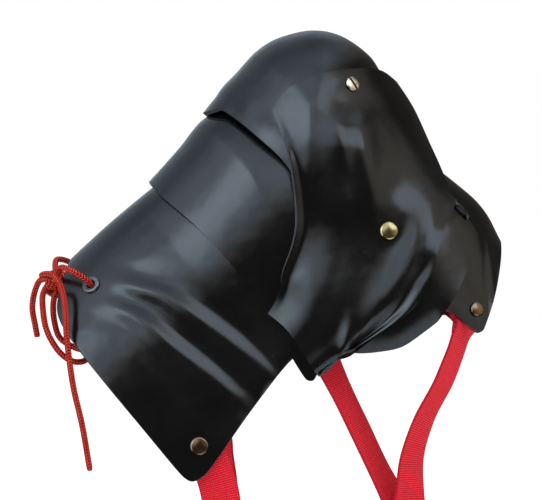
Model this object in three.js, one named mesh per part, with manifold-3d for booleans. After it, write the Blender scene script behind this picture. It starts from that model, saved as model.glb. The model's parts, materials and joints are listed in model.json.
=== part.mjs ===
// Winged poleyn: knee armour of moulded black leather, shown bent, as the wearer's knee holds it.
// The origin is the middle of the knee, halfway between the side walls. +Z is up, +X runs towards
// the shin, and the wing is on the -Y side. Every length is in millimetres.
import * as THREE from 'three';
import { mergeVertices } from 'three/addons/utils/BufferGeometryUtils.js';
import Module from 'manifold-3d';

const wasm = await Module();
wasm.setup();

// Leather, and the gaps between pieces that lie on each other
const leather = 3;
const nestGap = 0.6;
const seatGap = 0.3;
const finestDetail = 0.02;

// Thigh plate: reach runs down the thigh from its pivot, rise towards the front of the leg
const thighPivotBack = 14.4;
const thighPivotBelow = 86.1;
const thighTilt = THREE.MathUtils.degToRad(39.8);
const thighReach = 121;
const thighRise = 143.4;
const thighHalfWidth = 63.1;
const thighFreeHalfWidth = 76;
const thighShoulder = 91;
const thighFluteHeight = 1.5;

// Upper lame, measured from the same pivot in the same directions
const lameReach = 75;
const lameRise = 155;
const lameShoulder = 88;
const lameHalfWidth = thighHalfWidth + nestGap + leather;

// Knee cop
const copReach = 93.8;
const copRise = 118.5;
const copShoulder = 82;
const copHalfWidth = lameHalfWidth + nestGap + leather;

// Shin plate
const shinPivotAhead = 35.6;
const shinPivotBelow = 18.4;
const shinReach = 116;
const shinDrop = 84.4;
const shinShoulder = 98;
const shinFluteHeight = 0.8;

// Wing
const wingReach = 84;
const wingDrop = 110.6;
const wingGap = 0.9;
const wingHalfWidth = copHalfWidth + wingGap + leather;
const wingStandoff = 8;
const wingFlare = 4.5;
const wingLip = 2;
const lobeRise = 3.4;
const wingFluteHeight = 1.6;
const creaseDepth = 1.4;
const screwAhead = 12.8;
const screwAbove = 77.2;

// Rivets: a cap with a socket outside, and a post inside
const capRadius = 6;
const capHeight = 2.4;
const capEdge = 0.8;
const socketRadius = 2.2;
const socketBore = 1.4;
const postRadius = 1.1;
const postHeadRadius = 5;
const postHeadHeight = 1.1;
const holeClearance = 0.3;

// Slotted screw of the wing, and its barrel nut
const screwHeadRadius = 4.9;
const screwHeadHeight = 1.7;
const screwSlotWidth = 1.2;
const screwSlotDepth = 0.9;
const screwSlotTurn = THREE.MathUtils.degToRad(28);

// Eyelets of the lacing
const eyeletAlong = 89.5;
const eyeletRise = 117;
const eyeletFlangeRadius = 6.4;
const eyeletBore = 2.6;
const eyeletWall = 0.6;
const eyeletRoll = 1.2;
const eyeletClenchRadius = 4.4;
const washerRadius = 5.4;
const washerThickness = 0.5;

// Lacing cord, and its knot beside the crown of the thigh plate
const laceDiameter = 4;
const knotRadius = 5;
const knotAlong = 106;
const knotRise = 136.5;
const knotAside = 24;

// Webbing
const strapWidth = 25;
const strapThickness = 1.4;
const layerGap = 0.6;
const curveRoom = 1.2;
const strapEnd = 9;
const strapLap = 26;
const thighLoopBack = 70;
const thighLoopDrop = 283;
const calfLoopAhead = 52;
const calfLoopDrop = 283;

// Side-release buckles, and the rings of the yokes
const buckleWidth = 33;
const buckleHeight = 8.4;
const buckleWall = 2;
const buckleBar = 3;
const buckleWindow = 7;
const socketLength = 27;
const plugLength = 11;
const prongLength = 17;
const prongWidth = 4.4;
const ringWire = 3.4;
const ringWindow = 12;
const ringInset = 60;
const nearRingAhead = 48;
const nearRingDrop = 213;
const farRingAhead = 56.5;
const farRingDrop = 231;

const { clamp, smoothstep } = THREE.MathUtils;
const Y = new THREE.Vector3(0, 1, 0);
const nearSide = -1;
const farSide = 1;
const roundSegments = 12;

const finishes = {
  leather: new THREE.MeshStandardMaterial({ color: 0x0d0e10, roughness: 0.32, metalness: 0 }),
  nickel: new THREE.MeshStandardMaterial({ color: 0xb9ac9a, roughness: 0.22, metalness: 1 }),
  steel: new THREE.MeshStandardMaterial({ color: 0x8f9296, roughness: 0.35, metalness: 1 }),
  webbing: new THREE.MeshStandardMaterial({ color: 0xc8202f, roughness: 0.8, metalness: 0 }),
  cord: new THREE.MeshStandardMaterial({ color: 0xc4201f, roughness: 0.75, metalness: 0 }),
  plastic: new THREE.MeshStandardMaterial({ color: 0x111214, roughness: 0.45, metalness: 0 }),
};

const poleyn = new THREE.Group();
poleyn.name = 'winged_poleyn';

function addPiece(name, geometry, finish) {
  const mesh = new THREE.Mesh(geometry, finishes[finish].clone());
  mesh.name = name;
  poleyn.add(mesh);
}

// Closed meshes made ready for cutting, and back again

function solidOf(geometry) {
  const bare = geometry.clone();
  bare.deleteAttribute('normal');
  bare.deleteAttribute('uv');
  const merged = mergeVertices(bare);
  return new wasm.Manifold(new wasm.Mesh({
    numProp: 3,
    vertProperties: new Float32Array(merged.attributes.position.array),
    triVerts: new Uint32Array(merged.index.array),
  }));
}

function geometryOf(solid) {
  const mesh = solid.simplify(finestDetail).getMesh();
  const geometry = new THREE.BufferGeometry();
  geometry.setAttribute('position', new THREE.BufferAttribute(new Float32Array(mesh.vertProperties), 3));
  geometry.setIndex(new THREE.BufferAttribute(new Uint32Array(mesh.triVerts), 1));
  geometry.computeVertexNormals();
  return geometry;
}

function cut(geometry, tools) {
  let solid = solidOf(geometry);
  for (const tool of tools) solid = solid.subtract(solidOf(tool));
  return geometryOf(solid);
}

function join(geometries) {
  let solid = solidOf(geometries[0]);
  for (const other of geometries.slice(1)) solid = solid.add(solidOf(other));
  return geometryOf(solid);
}

// Stands a geometry whose own axis is Y on a place, facing a direction
function stood(geometry, { place, facing }) {
  const turn = new THREE.Quaternion().setFromUnitVectors(Y, facing);
  return geometry.applyQuaternion(turn).translate(place.x, place.y, place.z);
}

// Curves of the side view, where x runs towards the shin and y upwards

function points(shares, reach, rise) {
  return shares.map(([alongShare, upShare]) => new THREE.Vector2(alongShare * reach, upShare * rise));
}

// Takes points from the thigh's own directions to the part's
function inPart(point) {
  const along = new THREE.Vector2(-Math.cos(thighTilt), -Math.sin(thighTilt));
  const front = new THREE.Vector2(-Math.sin(thighTilt), Math.cos(thighTilt));
  return new THREE.Vector2(-thighPivotBack, -thighPivotBelow)
    .addScaledVector(along, point.x)
    .addScaledVector(front, point.y);
}

function thighPoints(shares, reach, rise) {
  return points(shares, reach, rise).map(inPart);
}

function curveThrough(places) {
  const curve = new THREE.SplineCurve(places);
  return (share) => curve.getPointAt(clamp(share, 0, 1));
}

// A patch of the side view between four edges: rim to rim, and crown to back edge
function patchBetween({ firstRim, lastRim, crown, back }) {
  const corners = [crown(0), crown(1), back(0), back(1)];
  return (u, q) => firstRim(q).multiplyScalar(1 - u)
    .addScaledVector(lastRim(q), u)
    .addScaledVector(crown(u), 1 - q)
    .addScaledVector(back(u), q)
    .addScaledVector(corners[0], -(1 - u) * (1 - q))
    .addScaledVector(corners[1], -u * (1 - q))
    .addScaledVector(corners[2], -(1 - u) * q)
    .addScaledVector(corners[3], -u * q);
}

// How far a point of the side view lies inside a crown line that has the front of the leg on its left
function depthInside(crownLine) {
  const sampleCount = 160;
  const samples = new THREE.SplineCurve(crownLine).getSpacedPoints(sampleCount);
  return (point) => {
    let nearest = Infinity;
    let depth = 0;
    for (let i = 0; i < sampleCount; i += 1) {
      const along = samples[i + 1].clone().sub(samples[i]);
      const offset = point.clone().sub(samples[i]);
      const share = clamp(offset.dot(along) / along.lengthSq(), 0, 1);
      const distance = offset.distanceTo(along.clone().multiplyScalar(share));
      if (distance < nearest) {
        nearest = distance;
        depth = Math.sign(along.y * offset.x - along.x * offset.y) * distance;
      }
    }
    return depth;
  };
}

// Half the width of the leg's form at a depth inside its crown: rounded shoulders, then straight walls
function roundedWidth(depth, shoulder) {
  const left = 1 - clamp(depth / shoulder, 0, 1);
  return Math.sqrt(1 - left * left);
}

// The direction square to the crown that points into a plate
function inwardAt({ crown, back }, u) {
  const step = 0.02;
  const along = crown(u + step).sub(crown(u - step)).normalize();
  const inward = new THREE.Vector2(along.y, -along.x);
  return inward.dot(back(u).sub(crown(u))) < 0 ? inward.negate() : inward;
}

// The outer face of an arched plate. u runs from the hidden rim to the free rim, and w from the near
// back edge over the crown to the far back edge.
function archedFace({ edges, crownLine, halfWidth, shoulder, relief = () => 0 }) {
  const patch = patchBetween(edges);
  const depthOf = depthInside(crownLine);
  const wallShare = 0.3;
  return (u, w) => {
    const around = Math.abs(2 * w - 1);
    const bendShare = 1 - wallShare;
    const span = edges.crown(u).distanceTo(edges.back(u));
    const shoulderShare = Math.min(shoulder / span, 1 - wallShare / 2);
    const q = around < bendShare
      ? shoulderShare * (1 - Math.cos((around / bendShare) * Math.PI / 2))
      : shoulderShare + (1 - shoulderShare) * (around - bendShare) / wallShare;
    const square = edges.crown(u).addScaledVector(inwardAt(edges, u), q * span);
    const leaving = (1 - smoothstep(q, 0, 0.4)) * Math.min(1, 5 * u * (1 - u));
    const point = patch(u, q).lerp(square, leaving);
    const width = around === 0 ? 0 : halfWidth(point) * roundedWidth(depthOf(point), shoulder);
    const swell = relief(point) * roundedWidth(depthOf(point), shoulder);
    return new THREE.Vector3(point.x, Math.sign(2 * w - 1) * (width + swell), point.y);
  };
}

function normalAt(face, u, w) {
  const step = 0.004;
  const held = (value) => clamp(value, 0, 1);
  const alongU = face(held(u + step), w).sub(face(held(u - step), w));
  const alongW = face(u, held(w + step)).sub(face(u, held(w - step)));
  return alongU.cross(alongW).normalize();
}

// A closed shell of even thickness under a face, with its edges walled
function shellUnder(face, rows, columns, outwardSign) {
  const positions = [];
  const index = [];
  const across = columns + 1;
  const layer = (rows + 1) * across;
  for (const depth of [0, leather]) {
    for (let i = 0; i <= rows; i += 1) {
      for (let j = 0; j <= columns; j += 1) {
        const [u, w] = [i / rows, j / columns];
        const point = face(u, w).addScaledVector(normalAt(face, u, w), -outwardSign * depth);
        positions.push(point.x, point.y, point.z);
      }
    }
  }
  const quad = (a, b, c, d) => index.push(...(outwardSign > 0 ? [a, b, c, a, c, d] : [a, c, b, a, d, c]));
  for (let i = 0; i < rows; i += 1) {
    for (let j = 0; j < columns; j += 1) {
      const a = i * across + j;
      quad(a, a + across, a + across + 1, a + 1);
      quad(layer + a, layer + a + 1, layer + a + across + 1, layer + a + across);
    }
  }
  for (let j = 0; j < columns; j += 1) {
    const last = rows * across + j;
    quad(j, j + 1, layer + j + 1, layer + j);
    quad(last + 1, last, layer + last, layer + last + 1);
  }
  for (let i = 0; i < rows; i += 1) {
    const first = i * across;
    const last = first + columns;
    quad(first + across, first, layer + first, layer + first + across);
    quad(last, last + across, layer + last + across, layer + last);
  }
  const geometry = new THREE.BufferGeometry();
  geometry.setAttribute('position', new THREE.Float32BufferAttribute(positions, 3));
  geometry.setIndex(index);
  geometry.computeVertexNormals();
  return geometry;
}

// Where a face stands over a point of the side view on one side of the leg, and which way it faces
function standOn(face, target, range, outwardSign) {
  const goal = new THREE.Vector2(target.x, target.y);
  let best = { u: 0.5, w: (range[0] + range[1]) / 2 };
  let reachU = 0.5;
  let reachW = (range[1] - range[0]) / 2;
  const passes = 14;
  const side = 4;
  for (let pass = 0; pass < passes; pass += 1) {
    let nearest = Infinity;
    let found = best;
    for (let i = -side; i <= side; i += 1) {
      for (let j = -side; j <= side; j += 1) {
        const u = clamp(best.u + (i / side) * reachU, 0, 1);
        const w = clamp(best.w + (j / side) * reachW, range[0], range[1]);
        const point = face(u, w);
        const distance = Math.hypot(point.x - goal.x, point.z - goal.y);
        if (distance < nearest) [nearest, found] = [distance, { u, w }];
      }
    }
    best = found;
    reachU /= 2;
    reachW /= 2;
  }
  const facing = normalAt(face, best.u, best.w).multiplyScalar(outwardSign);
  return { place: face(best.u, best.w), facing };
}

const nearHalf = [0, 0.5];
const farHalf = [0.5, 1];

// Thigh plate

const thighCrownShares = [[-0.14, 0.994], [0.178, 1], [0.471, 1], [0.76, 0.988]];
const thighEdges = {
  crown: curveThrough(thighPoints(thighCrownShares, thighReach, thighRise)),
  firstRim: curveThrough(thighPoints(
    [[-0.14, 0.994], [-0.14, 0.7], [-0.124, 0.28], [-0.107, 0], [-0.083, -0.056]], thighReach, thighRise,
  )),
  lastRim: curveThrough(thighPoints(
    [[0.76, 0.988], [0.82, 0.953], [0.93, 0.875], [0.983, 0.809], [1, 0.7], [1, 0.42], [1, 0.18],
      [1, -0.1], [0.987, -0.153]], thighReach, thighRise,
  )),
  back: curveThrough(thighPoints(
    [[-0.083, -0.056], [-0.017, -0.084], [0.066, -0.063], [0.169, -0.03], [0.554, -0.1], [0.864, -0.169],
      [0.947, -0.172], [0.987, -0.153]], thighReach, thighRise,
  )),
};

function thighShareOf(point) {
  const offset = point.clone().sub(inPart(new THREE.Vector2(0, 0)));
  return -(offset.x * Math.cos(thighTilt) + offset.y * Math.sin(thighTilt)) / thighReach;
}

function thighWidth(point) {
  const flareStartShare = 0.26;
  const flare = clamp((thighShareOf(point) - flareStartShare) / (1 - flareStartShare), 0, 1.2);
  return thighHalfWidth + (thighFreeHalfWidth - thighHalfWidth) * flare;
}

// Flutes that fan out from the eyelet across the side of the thigh plate
function thighFlutes(point) {
  const eyelet = inPart(new THREE.Vector2(eyeletAlong, eyeletRise));
  const offset = point.clone().sub(eyelet);
  const distanceShare = offset.length() / thighRise;
  const turn = Math.atan2(offset.y, offset.x) + thighTilt;
  const fan = Math.cos((turn - 0.035) * 26) * Math.exp(-(((turn - 0.15) / 0.24) ** 2));
  const rise = smoothstep(distanceShare, 0.06, 0.3);
  const fall = 1 - smoothstep(distanceShare, 0.75, 1.1);
  const clearOfLame = smoothstep(thighShareOf(point), 0.2, 0.4);
  return thighFluteHeight * fan * rise * fall * clearOfLame;
}

const thighFace = archedFace({
  edges: thighEdges,
  crownLine: thighPoints([[-0.5, 0.97], ...thighCrownShares, [1.2, 0.965]], thighReach, thighRise).reverse(),
  halfWidth: thighWidth,
  shoulder: thighShoulder,
  relief: thighFlutes,
});

// Upper lame

const lameCrownShares = [[-0.933, 0.94], [-0.533, 1.011], [-0.14, 0.981], [0.247, 0.954]];
const lameFace = archedFace({
  edges: {
    crown: curveThrough(thighPoints(lameCrownShares, lameReach, lameRise)),
    firstRim: curveThrough(thighPoints(
      [[-0.933, 0.94], [-1.02, 0.613], [-0.82, 0.31], [-0.4, 0.05], [-0.16, -0.065]], lameReach, lameRise,
    )),
    lastRim: curveThrough(thighPoints(
      [[0.247, 0.954], [0.235, 0.871], [0.153, 0.637], [0.135, 0.385], [0.172, 0.167], [0.25, -0.03],
        [0.275, -0.125]], lameReach, lameRise,
    )),
    back: curveThrough(thighPoints(
      [[-0.16, -0.065], [0, -0.092], [0.192, -0.145], [0.25, -0.145], [0.275, -0.125]], lameReach, lameRise,
    )),
  },
  crownLine: thighPoints([[-1.6, 0.7], ...lameCrownShares, [0.7, 0.93]], lameReach, lameRise).reverse(),
  halfWidth: () => lameHalfWidth,
  shoulder: lameShoulder,
});

// Knee cop: the crown of its form runs on over the shin, so the walls stay rounded at the front

const copCrownShares = [[-0.922, 0.526], [-0.842, 0.603], [-0.784, 0.672], [-0.682, 0.755], [-0.617, 0.814],
  [-0.53, 0.884], [-0.385, 0.954], [-0.145, 1], [0.072, 0.971], [0.276, 0.862], [0.377, 0.747],
  [0.522, 0.565], [0.661, 0.354]];
const copFormShares = [[-1.5, -0.1], ...copCrownShares, [0.75, 0.27], [0.92, 0.16], [1.1, 0.05], [1.3, -0.2]];
const copFace = archedFace({
  edges: {
    crown: curveThrough(points(copCrownShares, copReach, copRise)),
    firstRim: curveThrough(points(
      [[-0.922, 0.526], [-0.84, 0.532], [-0.772, 0.53], [-0.541, 0.378], [-0.297, 0.178], [-0.16, -0.118],
        [-0.203, -0.43], [-0.277, -0.68], [-0.26, -0.79]], copReach, copRise,
    )),
    lastRim: curveThrough(points(
      [[0.661, 0.354], [0.789, 0.101], [0.868, -0.021], [0.95, -0.084], [1, -0.149], [0.981, -0.253],
        [0.94, -0.351], [0.9, -0.422], [0.837, -0.515], [0.72, -0.65]], copReach, copRise,
    )),
    back: curveThrough(points(
      [[-0.26, -0.79], [-0.18, -0.82], [0.081, -0.803], [0.163, -0.822], [0.322, -0.814], [0.48, -0.785],
        [0.638, -0.7], [0.72, -0.65]], copReach, copRise,
    )),
  },
  crownLine: points(copFormShares, copReach, copRise),
  halfWidth: () => copHalfWidth,
  shoulder: copShoulder,
});

// Shin plate

const shinCrownShares = [[0.446, 0.509], [0.556, 0.373], [0.734, 0.178], [0.851, 0.04], [0.93, -0.1],
  [0.997, -0.282]];
function shinFlutes(point) {
  const alongShare = point.x / shinReach;
  const clearOfCop = smoothstep(alongShare, 0.8, 0.9);
  return shinFluteHeight * Math.cos(alongShare * 90) * clearOfCop;
}
const shinFace = archedFace({
  edges: {
    crown: curveThrough(points(shinCrownShares, shinReach, shinDrop)),
    firstRim: curveThrough(points(
      [[0.446, 0.509], [0.309, 0.261], [0.226, 0], [0.2, -0.237], [0.235, -0.42]], shinReach, shinDrop,
    )),
    lastRim: curveThrough(points(
      [[0.997, -0.282], [0.973, -0.457], [0.935, -0.671], [0.887, -0.861], [0.852, -0.975]],
      shinReach, shinDrop,
    )),
    back: curveThrough(points(
      [[0.235, -0.42], [0.32, -0.53], [0.48, -0.687], [0.667, -0.838], [0.8, -0.985], [0.83, -1],
        [0.852, -0.975]], shinReach, shinDrop,
    )),
  },
  crownLine: points([[0.1, 0.8], ...shinCrownShares, [1.2, -0.8], [1.45, -1.4]], shinReach, shinDrop),
  halfWidth: () => lameHalfWidth,
  shoulder: shinShoulder,
  relief: shinFlutes,
});

// Wing: the same form as the cop, a little larger. u runs from its left edge round to the front edge,
// and w from the top down to the lobe.

const wingEdges = {
  firstRim: curveThrough(points(
    [[-0.47, 0.542], [-0.333, 0.245], [-0.28, -0.074], [-0.311, -0.248], [-0.387, -0.404], [-0.418, -0.537],
      [-0.501, -0.647]], wingReach, wingDrop,
  )),
  lastRim: curveThrough(points(
    [[0.524, 0.741], [0.671, 0.571], [0.805, 0.328], [0.904, 0.115], [0.955, 0.005], [0.9, -0.08],
      [0.874, -0.112], [0.818, -0.236], [0.756, -0.405], [0.695, -0.48], [0.62, -0.601], [0.488, -0.683],
      [0.354, -0.752], [0.163, -0.844], [0.087, -0.856]], wingReach, wingDrop,
  )),
  crown: curveThrough(points(
    [[-0.47, 0.542], [-0.393, 0.628], [-0.292, 0.695], [-0.096, 0.753], [0.102, 0.789], [0.376, 0.802],
      [0.524, 0.741]], wingReach, wingDrop,
  )),
  back: curveThrough(points(
    [[-0.501, -0.647], [-0.364, -0.734], [-0.242, -0.867], [-0.127, -1], [-0.098, -0.988], [0.032, -0.884],
      [0.087, -0.856]], wingReach, wingDrop,
  )),
};
const wingDepthOf = depthInside(points(copFormShares, copReach, copRise));
const shinPivot = new THREE.Vector2(shinPivotAhead, -shinPivotBelow);
const screwSeat = new THREE.Vector2(screwAhead, screwAbove);

// Two soft flutes run down the upper wing, and a crease runs up from the pinch above the lobe
function wingRelief(point) {
  const [ahead, above] = [point.x / wingReach, point.y / wingDrop];
  const bend = ahead - 0.17 + 0.35 * (0.35 - above) ** 2 - 0.28 * (0.35 - above);
  const flutes = Math.exp(-((bend / 0.055) ** 2)) + 0.8 * Math.exp(-(((bend - 0.2) / 0.045) ** 2));
  const upper = smoothstep(above, 0.02, 0.25) * (1 - smoothstep(above, 0.5, 0.64));
  const creaseLine = ahead - 0.09 - 0.14 * (above + 0.86);
  const crease = Math.exp(-((creaseLine / 0.05) ** 2)) * (1 - smoothstep(above, -0.75, -0.25));
  const bulgeLine = ahead - 0.74 + 0.55 * (above + 0.25) ** 2 + 0.25 * (above + 0.25);
  const bulge = Math.exp(-((bulgeLine / 0.1) ** 2)) * (1 - smoothstep(above, -0.1, 0.2));
  const clearOf = (seat, radius) => smoothstep(point.distanceTo(seat) / radius, 0.7, 1.8);
  const flat = clearOf(shinPivot, capRadius * 1.6) * clearOf(screwSeat, capRadius * 1.6);
  return (wingFluteHeight * (flutes * upper + bulge) + creaseDepth * crease) * flat;
}

const wingPatch = patchBetween(wingEdges);
function wingFace(u, w) {
  const t = Math.sin(u * Math.PI / 2);
  const point = wingPatch(t, w);
  const width = roundedWidth(wingDepthOf(point) + wingStandoff, copShoulder + wingStandoff);
  const standing = smoothstep(w, 0, 0.3);
  const flare = wingFlare * (1 - smoothstep(t, 0, 0.24)) * standing;
  const lobe = lobeRise * smoothstep(w, 0.5, 0.78) * (1 - smoothstep(t, 0.5, 0.95));
  const lip = wingLip * smoothstep(t, 0.86, 1) * smoothstep(w, 0.45, 0.6);
  const swell = wingRelief(point) * width + flare + lobe + lip;
  return new THREE.Vector3(point.x, -(wingHalfWidth * width + swell), point.y);
}

// Rivets. A stack is the thickness of what one holds, below its place and above it.

function capProfile(grip) {
  const profile = [[0, -capEdge], [socketBore, -capEdge], [socketBore, -grip], [socketRadius, -grip],
    [socketRadius, 0], [capRadius, 0], [capRadius, capEdge]];
  const steps = 3;
  for (let i = 1; i <= steps; i += 1) {
    const turn = (i / steps) * Math.PI / 2;
    profile.push([capRadius * Math.cos(turn), capEdge + (capHeight - capEdge) * Math.sin(turn)]);
  }
  profile[profile.length - 1][0] = 0;
  return profile.map(([radius, height]) => new THREE.Vector2(radius, height));
}

function postProfile(grip) {
  const shank = grip - capEdge - seatGap;
  return [[0, -postHeadHeight], [postHeadRadius - capEdge, -postHeadHeight], [postHeadRadius, 0],
    [postRadius, 0], [postRadius, shank], [0, shank]]
    .map(([radius, height]) => new THREE.Vector2(radius, height));
}

function addRivet(name, seat, depthOfStack) {
  const grip = depthOfStack + seatGap;
  const outer = { place: seat.place.clone().addScaledVector(seat.facing, seatGap), facing: seat.facing };
  const inner = {
    place: seat.place.clone().addScaledVector(seat.facing, -depthOfStack - seatGap),
    facing: seat.facing,
  };
  const cap = new THREE.LatheGeometry(capProfile(grip), roundSegments);
  const post = new THREE.LatheGeometry(postProfile(grip + seatGap), roundSegments);
  addPiece(`${name}_cap`, stood(cap, outer), 'nickel');
  addPiece(`${name}_post`, stood(post, inner), 'nickel');
}

function drill(seat, radius) {
  return stood(new THREE.CylinderGeometry(radius, radius, 16 * leather, roundSegments), seat);
}

function onSide(point, halfWidth, side) {
  const place = new THREE.Vector3(point.x, side * halfWidth, point.y);
  return { place, facing: new THREE.Vector3(0, side, 0) };
}

const rivetHole = socketRadius + holeClearance;
const thighPivot = inPart(new THREE.Vector2(0, 0));
const strapDepth = seatGap + strapThickness;

// Slotted screw and its barrel nut, through the wing and the cop
function addScrew(name, seat, depthOfStack) {
  const grip = depthOfStack + seatGap;
  const shankEnd = -grip + seatGap;
  const head = [[0, shankEnd], [postRadius, shankEnd], [postRadius, 0], [screwHeadRadius, 0],
    [screwHeadRadius, screwHeadHeight / 2], [screwHeadRadius - capEdge, screwHeadHeight],
    [0, screwHeadHeight]];
  const lathe = (profile) => new THREE.LatheGeometry(
    profile.map(([radius, height]) => new THREE.Vector2(radius, height)), roundSegments,
  );
  const slot = new THREE.BoxGeometry(3 * screwHeadRadius, 2 * screwSlotDepth, screwSlotWidth)
    .rotateY(screwSlotTurn)
    .translate(0, screwHeadHeight, 0);
  const barrelTop = grip - seatGap;
  const barrel = [[0, -postHeadHeight], [postHeadRadius - capEdge, -postHeadHeight], [postHeadRadius, 0],
    [socketRadius, 0], [socketRadius, barrelTop], [socketBore, barrelTop], [socketBore, 0], [0, 0]];
  const outer = { place: seat.place.clone().addScaledVector(seat.facing, seatGap), facing: seat.facing };
  const inner = {
    place: seat.place.clone().addScaledVector(seat.facing, -depthOfStack - seatGap - nestGap),
    facing: seat.facing,
  };
  addPiece(name, stood(cut(lathe(head), [slot]), outer), 'nickel');
  addPiece(`${name}_barrel_nut`, stood(lathe(barrel), inner), 'nickel');
}

// Eyelet with its washer: a rolled flange outside, a barrel through the leather, clenched inside
function addEyelet(name, seat) {
  const below = -leather - 3 * seatGap;
  const barrel = eyeletBore + eyeletWall;
  const clench = below - washerThickness - seatGap;
  const eyelet = [[eyeletBore, 0], [barrel + eyeletWall, eyeletRoll],
    [eyeletFlangeRadius - eyeletWall, eyeletRoll], [eyeletFlangeRadius, 0], [barrel, 0],
    [barrel, clench], [eyeletClenchRadius, clench],
    [eyeletClenchRadius, clench - eyeletWall], [eyeletBore, clench - eyeletWall], [eyeletBore, 0]];
  const washer = [[barrel + seatGap, below], [barrel + seatGap, below - washerThickness],
    [washerRadius, below - washerThickness], [washerRadius, below], [barrel + seatGap, below]];
  const raised = { place: seat.place.clone().addScaledVector(seat.facing, seatGap), facing: seat.facing };
  const ring = (profile) => new THREE.LatheGeometry(
    profile.map(([radius, height]) => new THREE.Vector2(radius, height)).reverse(), roundSegments,
  );
  addPiece(name, stood(ring(eyelet), raised), 'steel');
  addPiece(`${name}_washer`, stood(ring(washer.reverse()), raised), 'steel');
}

const eyeletHole = eyeletBore + eyeletWall + holeClearance;
const thighStrapPlace = inPart(new THREE.Vector2(thighReach * 0.83, thighRise * -0.057));
const shinStrapPlace = points([[0.81, -0.822]], shinReach, shinDrop)[0];
const eyeletPlace = inPart(new THREE.Vector2(eyeletAlong, eyeletRise));
const seats = {
  thighStrap: [nearHalf, farHalf].map((range) => standOn(thighFace, thighStrapPlace, range, -1)),
  shinStrap: [nearHalf, farHalf].map((range) => standOn(shinFace, shinStrapPlace, range, 1)),
  eyelet: [nearHalf, farHalf].map((range) => standOn(thighFace, eyeletPlace, range, -1)),
  thighPivot: [nearSide, farSide].map((side) => onSide(thighPivot, copHalfWidth, side)),
  shinPivot: [standOn(wingFace, shinPivot, [0, 1], -1), standOn(copFace, shinPivot, farHalf, 1)],
  screw: standOn(wingFace, screwSeat, [0, 1], -1),
};

const [nearEyeletSeat, farEyeletSeat] = seats.eyelet;
const thighHoles = [
  ...seats.thighPivot.map((seat) => drill(seat, rivetHole)),
  ...seats.thighStrap.map((seat) => drill(seat, rivetHole)),
  ...seats.eyelet.map((seat) => drill(seat, eyeletHole)),
];
const pivotHoles = () => seats.thighPivot.map((seat) => drill(seat, rivetHole));
const shinPivotHoles = () => seats.shinPivot.map((seat) => drill(seat, rivetHole));
const screwHole = () => drill(seats.screw, rivetHole);

addPiece('thigh_plate', cut(shellUnder(thighFace, 15, 26, -1), thighHoles), 'leather');
addPiece('upper_lame', cut(shellUnder(lameFace, 8, 24, -1), pivotHoles()), 'leather');
addPiece('knee_cop', cut(shellUnder(copFace, 17, 26, 1), [...pivotHoles(), ...shinPivotHoles(), screwHole()]),
  'leather');
addPiece('shin_plate', cut(shellUnder(shinFace, 9, 22, 1),
  [...shinPivotHoles(), ...seats.shinStrap.map((seat) => drill(seat, rivetHole))]), 'leather');
addPiece('wing', cut(shellUnder(wingFace, 16, 18, -1), [shinPivotHoles()[0], screwHole()]), 'leather');

const threePlates = 3 * leather + 2 * nestGap;
addRivet('thigh_pivot_rivet_near', seats.thighPivot[0], threePlates + strapDepth);
addRivet('thigh_pivot_rivet_far', seats.thighPivot[1], threePlates + strapDepth);
addRivet('shin_pivot_rivet_near', seats.shinPivot[0], depthDownTo(shinFace, seats.shinPivot[0], nearHalf));
addRivet('shin_pivot_rivet_far', seats.shinPivot[1], depthDownTo(shinFace, seats.shinPivot[1], farHalf));
addRivet('thigh_strap_rivet_near', seats.thighStrap[0], leather + strapDepth);
addRivet('thigh_strap_rivet_far', seats.thighStrap[1], leather + strapDepth);
addRivet('shin_strap_rivet_near', seats.shinStrap[0], leather + curveRoom + strapDepth);
addRivet('shin_strap_rivet_far', seats.shinStrap[1], leather + curveRoom + strapDepth);
addScrew('wing_screw', seats.screw, depthDownTo(copFace, seats.screw, nearHalf));
addEyelet('eyelet_near', nearEyeletSeat);
addEyelet('eyelet_far', farEyeletSeat);

// How deep the pieces are together under a seat, down to the inner side of a plate below it
function depthDownTo(face, seat, range) {
  const below = standOn(face, new THREE.Vector2(seat.place.x, seat.place.z), range, 1);
  return seat.place.clone().sub(below.place).dot(seat.facing) + leather + nestGap;
}

// Lacing cord. The routes are places of the cord's middle, in the part's own directions.

function cordAlong(route, steps) {
  const places = route.map((place) => new THREE.Vector3(...place));
  const path = new THREE.CatmullRomCurve3(places, false, 'centripetal');
  const quarterSides = 4;
  const section = new THREE.Shape();
  section.absarc(0, 0, laceDiameter / 2, 0, 2 * Math.PI);
  return new THREE.ExtrudeGeometry(section, {
    steps, curveSegments: quarterSides, bevelEnabled: false, extrudePath: path,
  });
}

function thighPlace(along, rise, sideways) {
  const point = inPart(new THREE.Vector2(along, rise));
  return [point.x, sideways, point.y];
}

const knotPlace = thighPlace(knotAlong, knotRise, -knotAside);
const knot = new THREE.SphereGeometry(knotRadius, 10, 8).translate(...knotPlace);
addPiece('lacing_knot', knot, 'cord');

// Two places where a cord comes out of the knot in a direction
function outOfKnot(direction) {
  const heading = new THREE.Vector3(...direction).normalize();
  return [knotRadius + seatGap, 2 * knotRadius - laceDiameter / 2]
    .map((reach) => new THREE.Vector3(...knotPlace).addScaledVector(heading, reach).toArray());
}

// Places on the line through an eyelet, at heights above the leather
function throughEyelet(seat, heights) {
  return heights.map((height) => seat.place.clone().addScaledVector(seat.facing, height).toArray());
}

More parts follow.
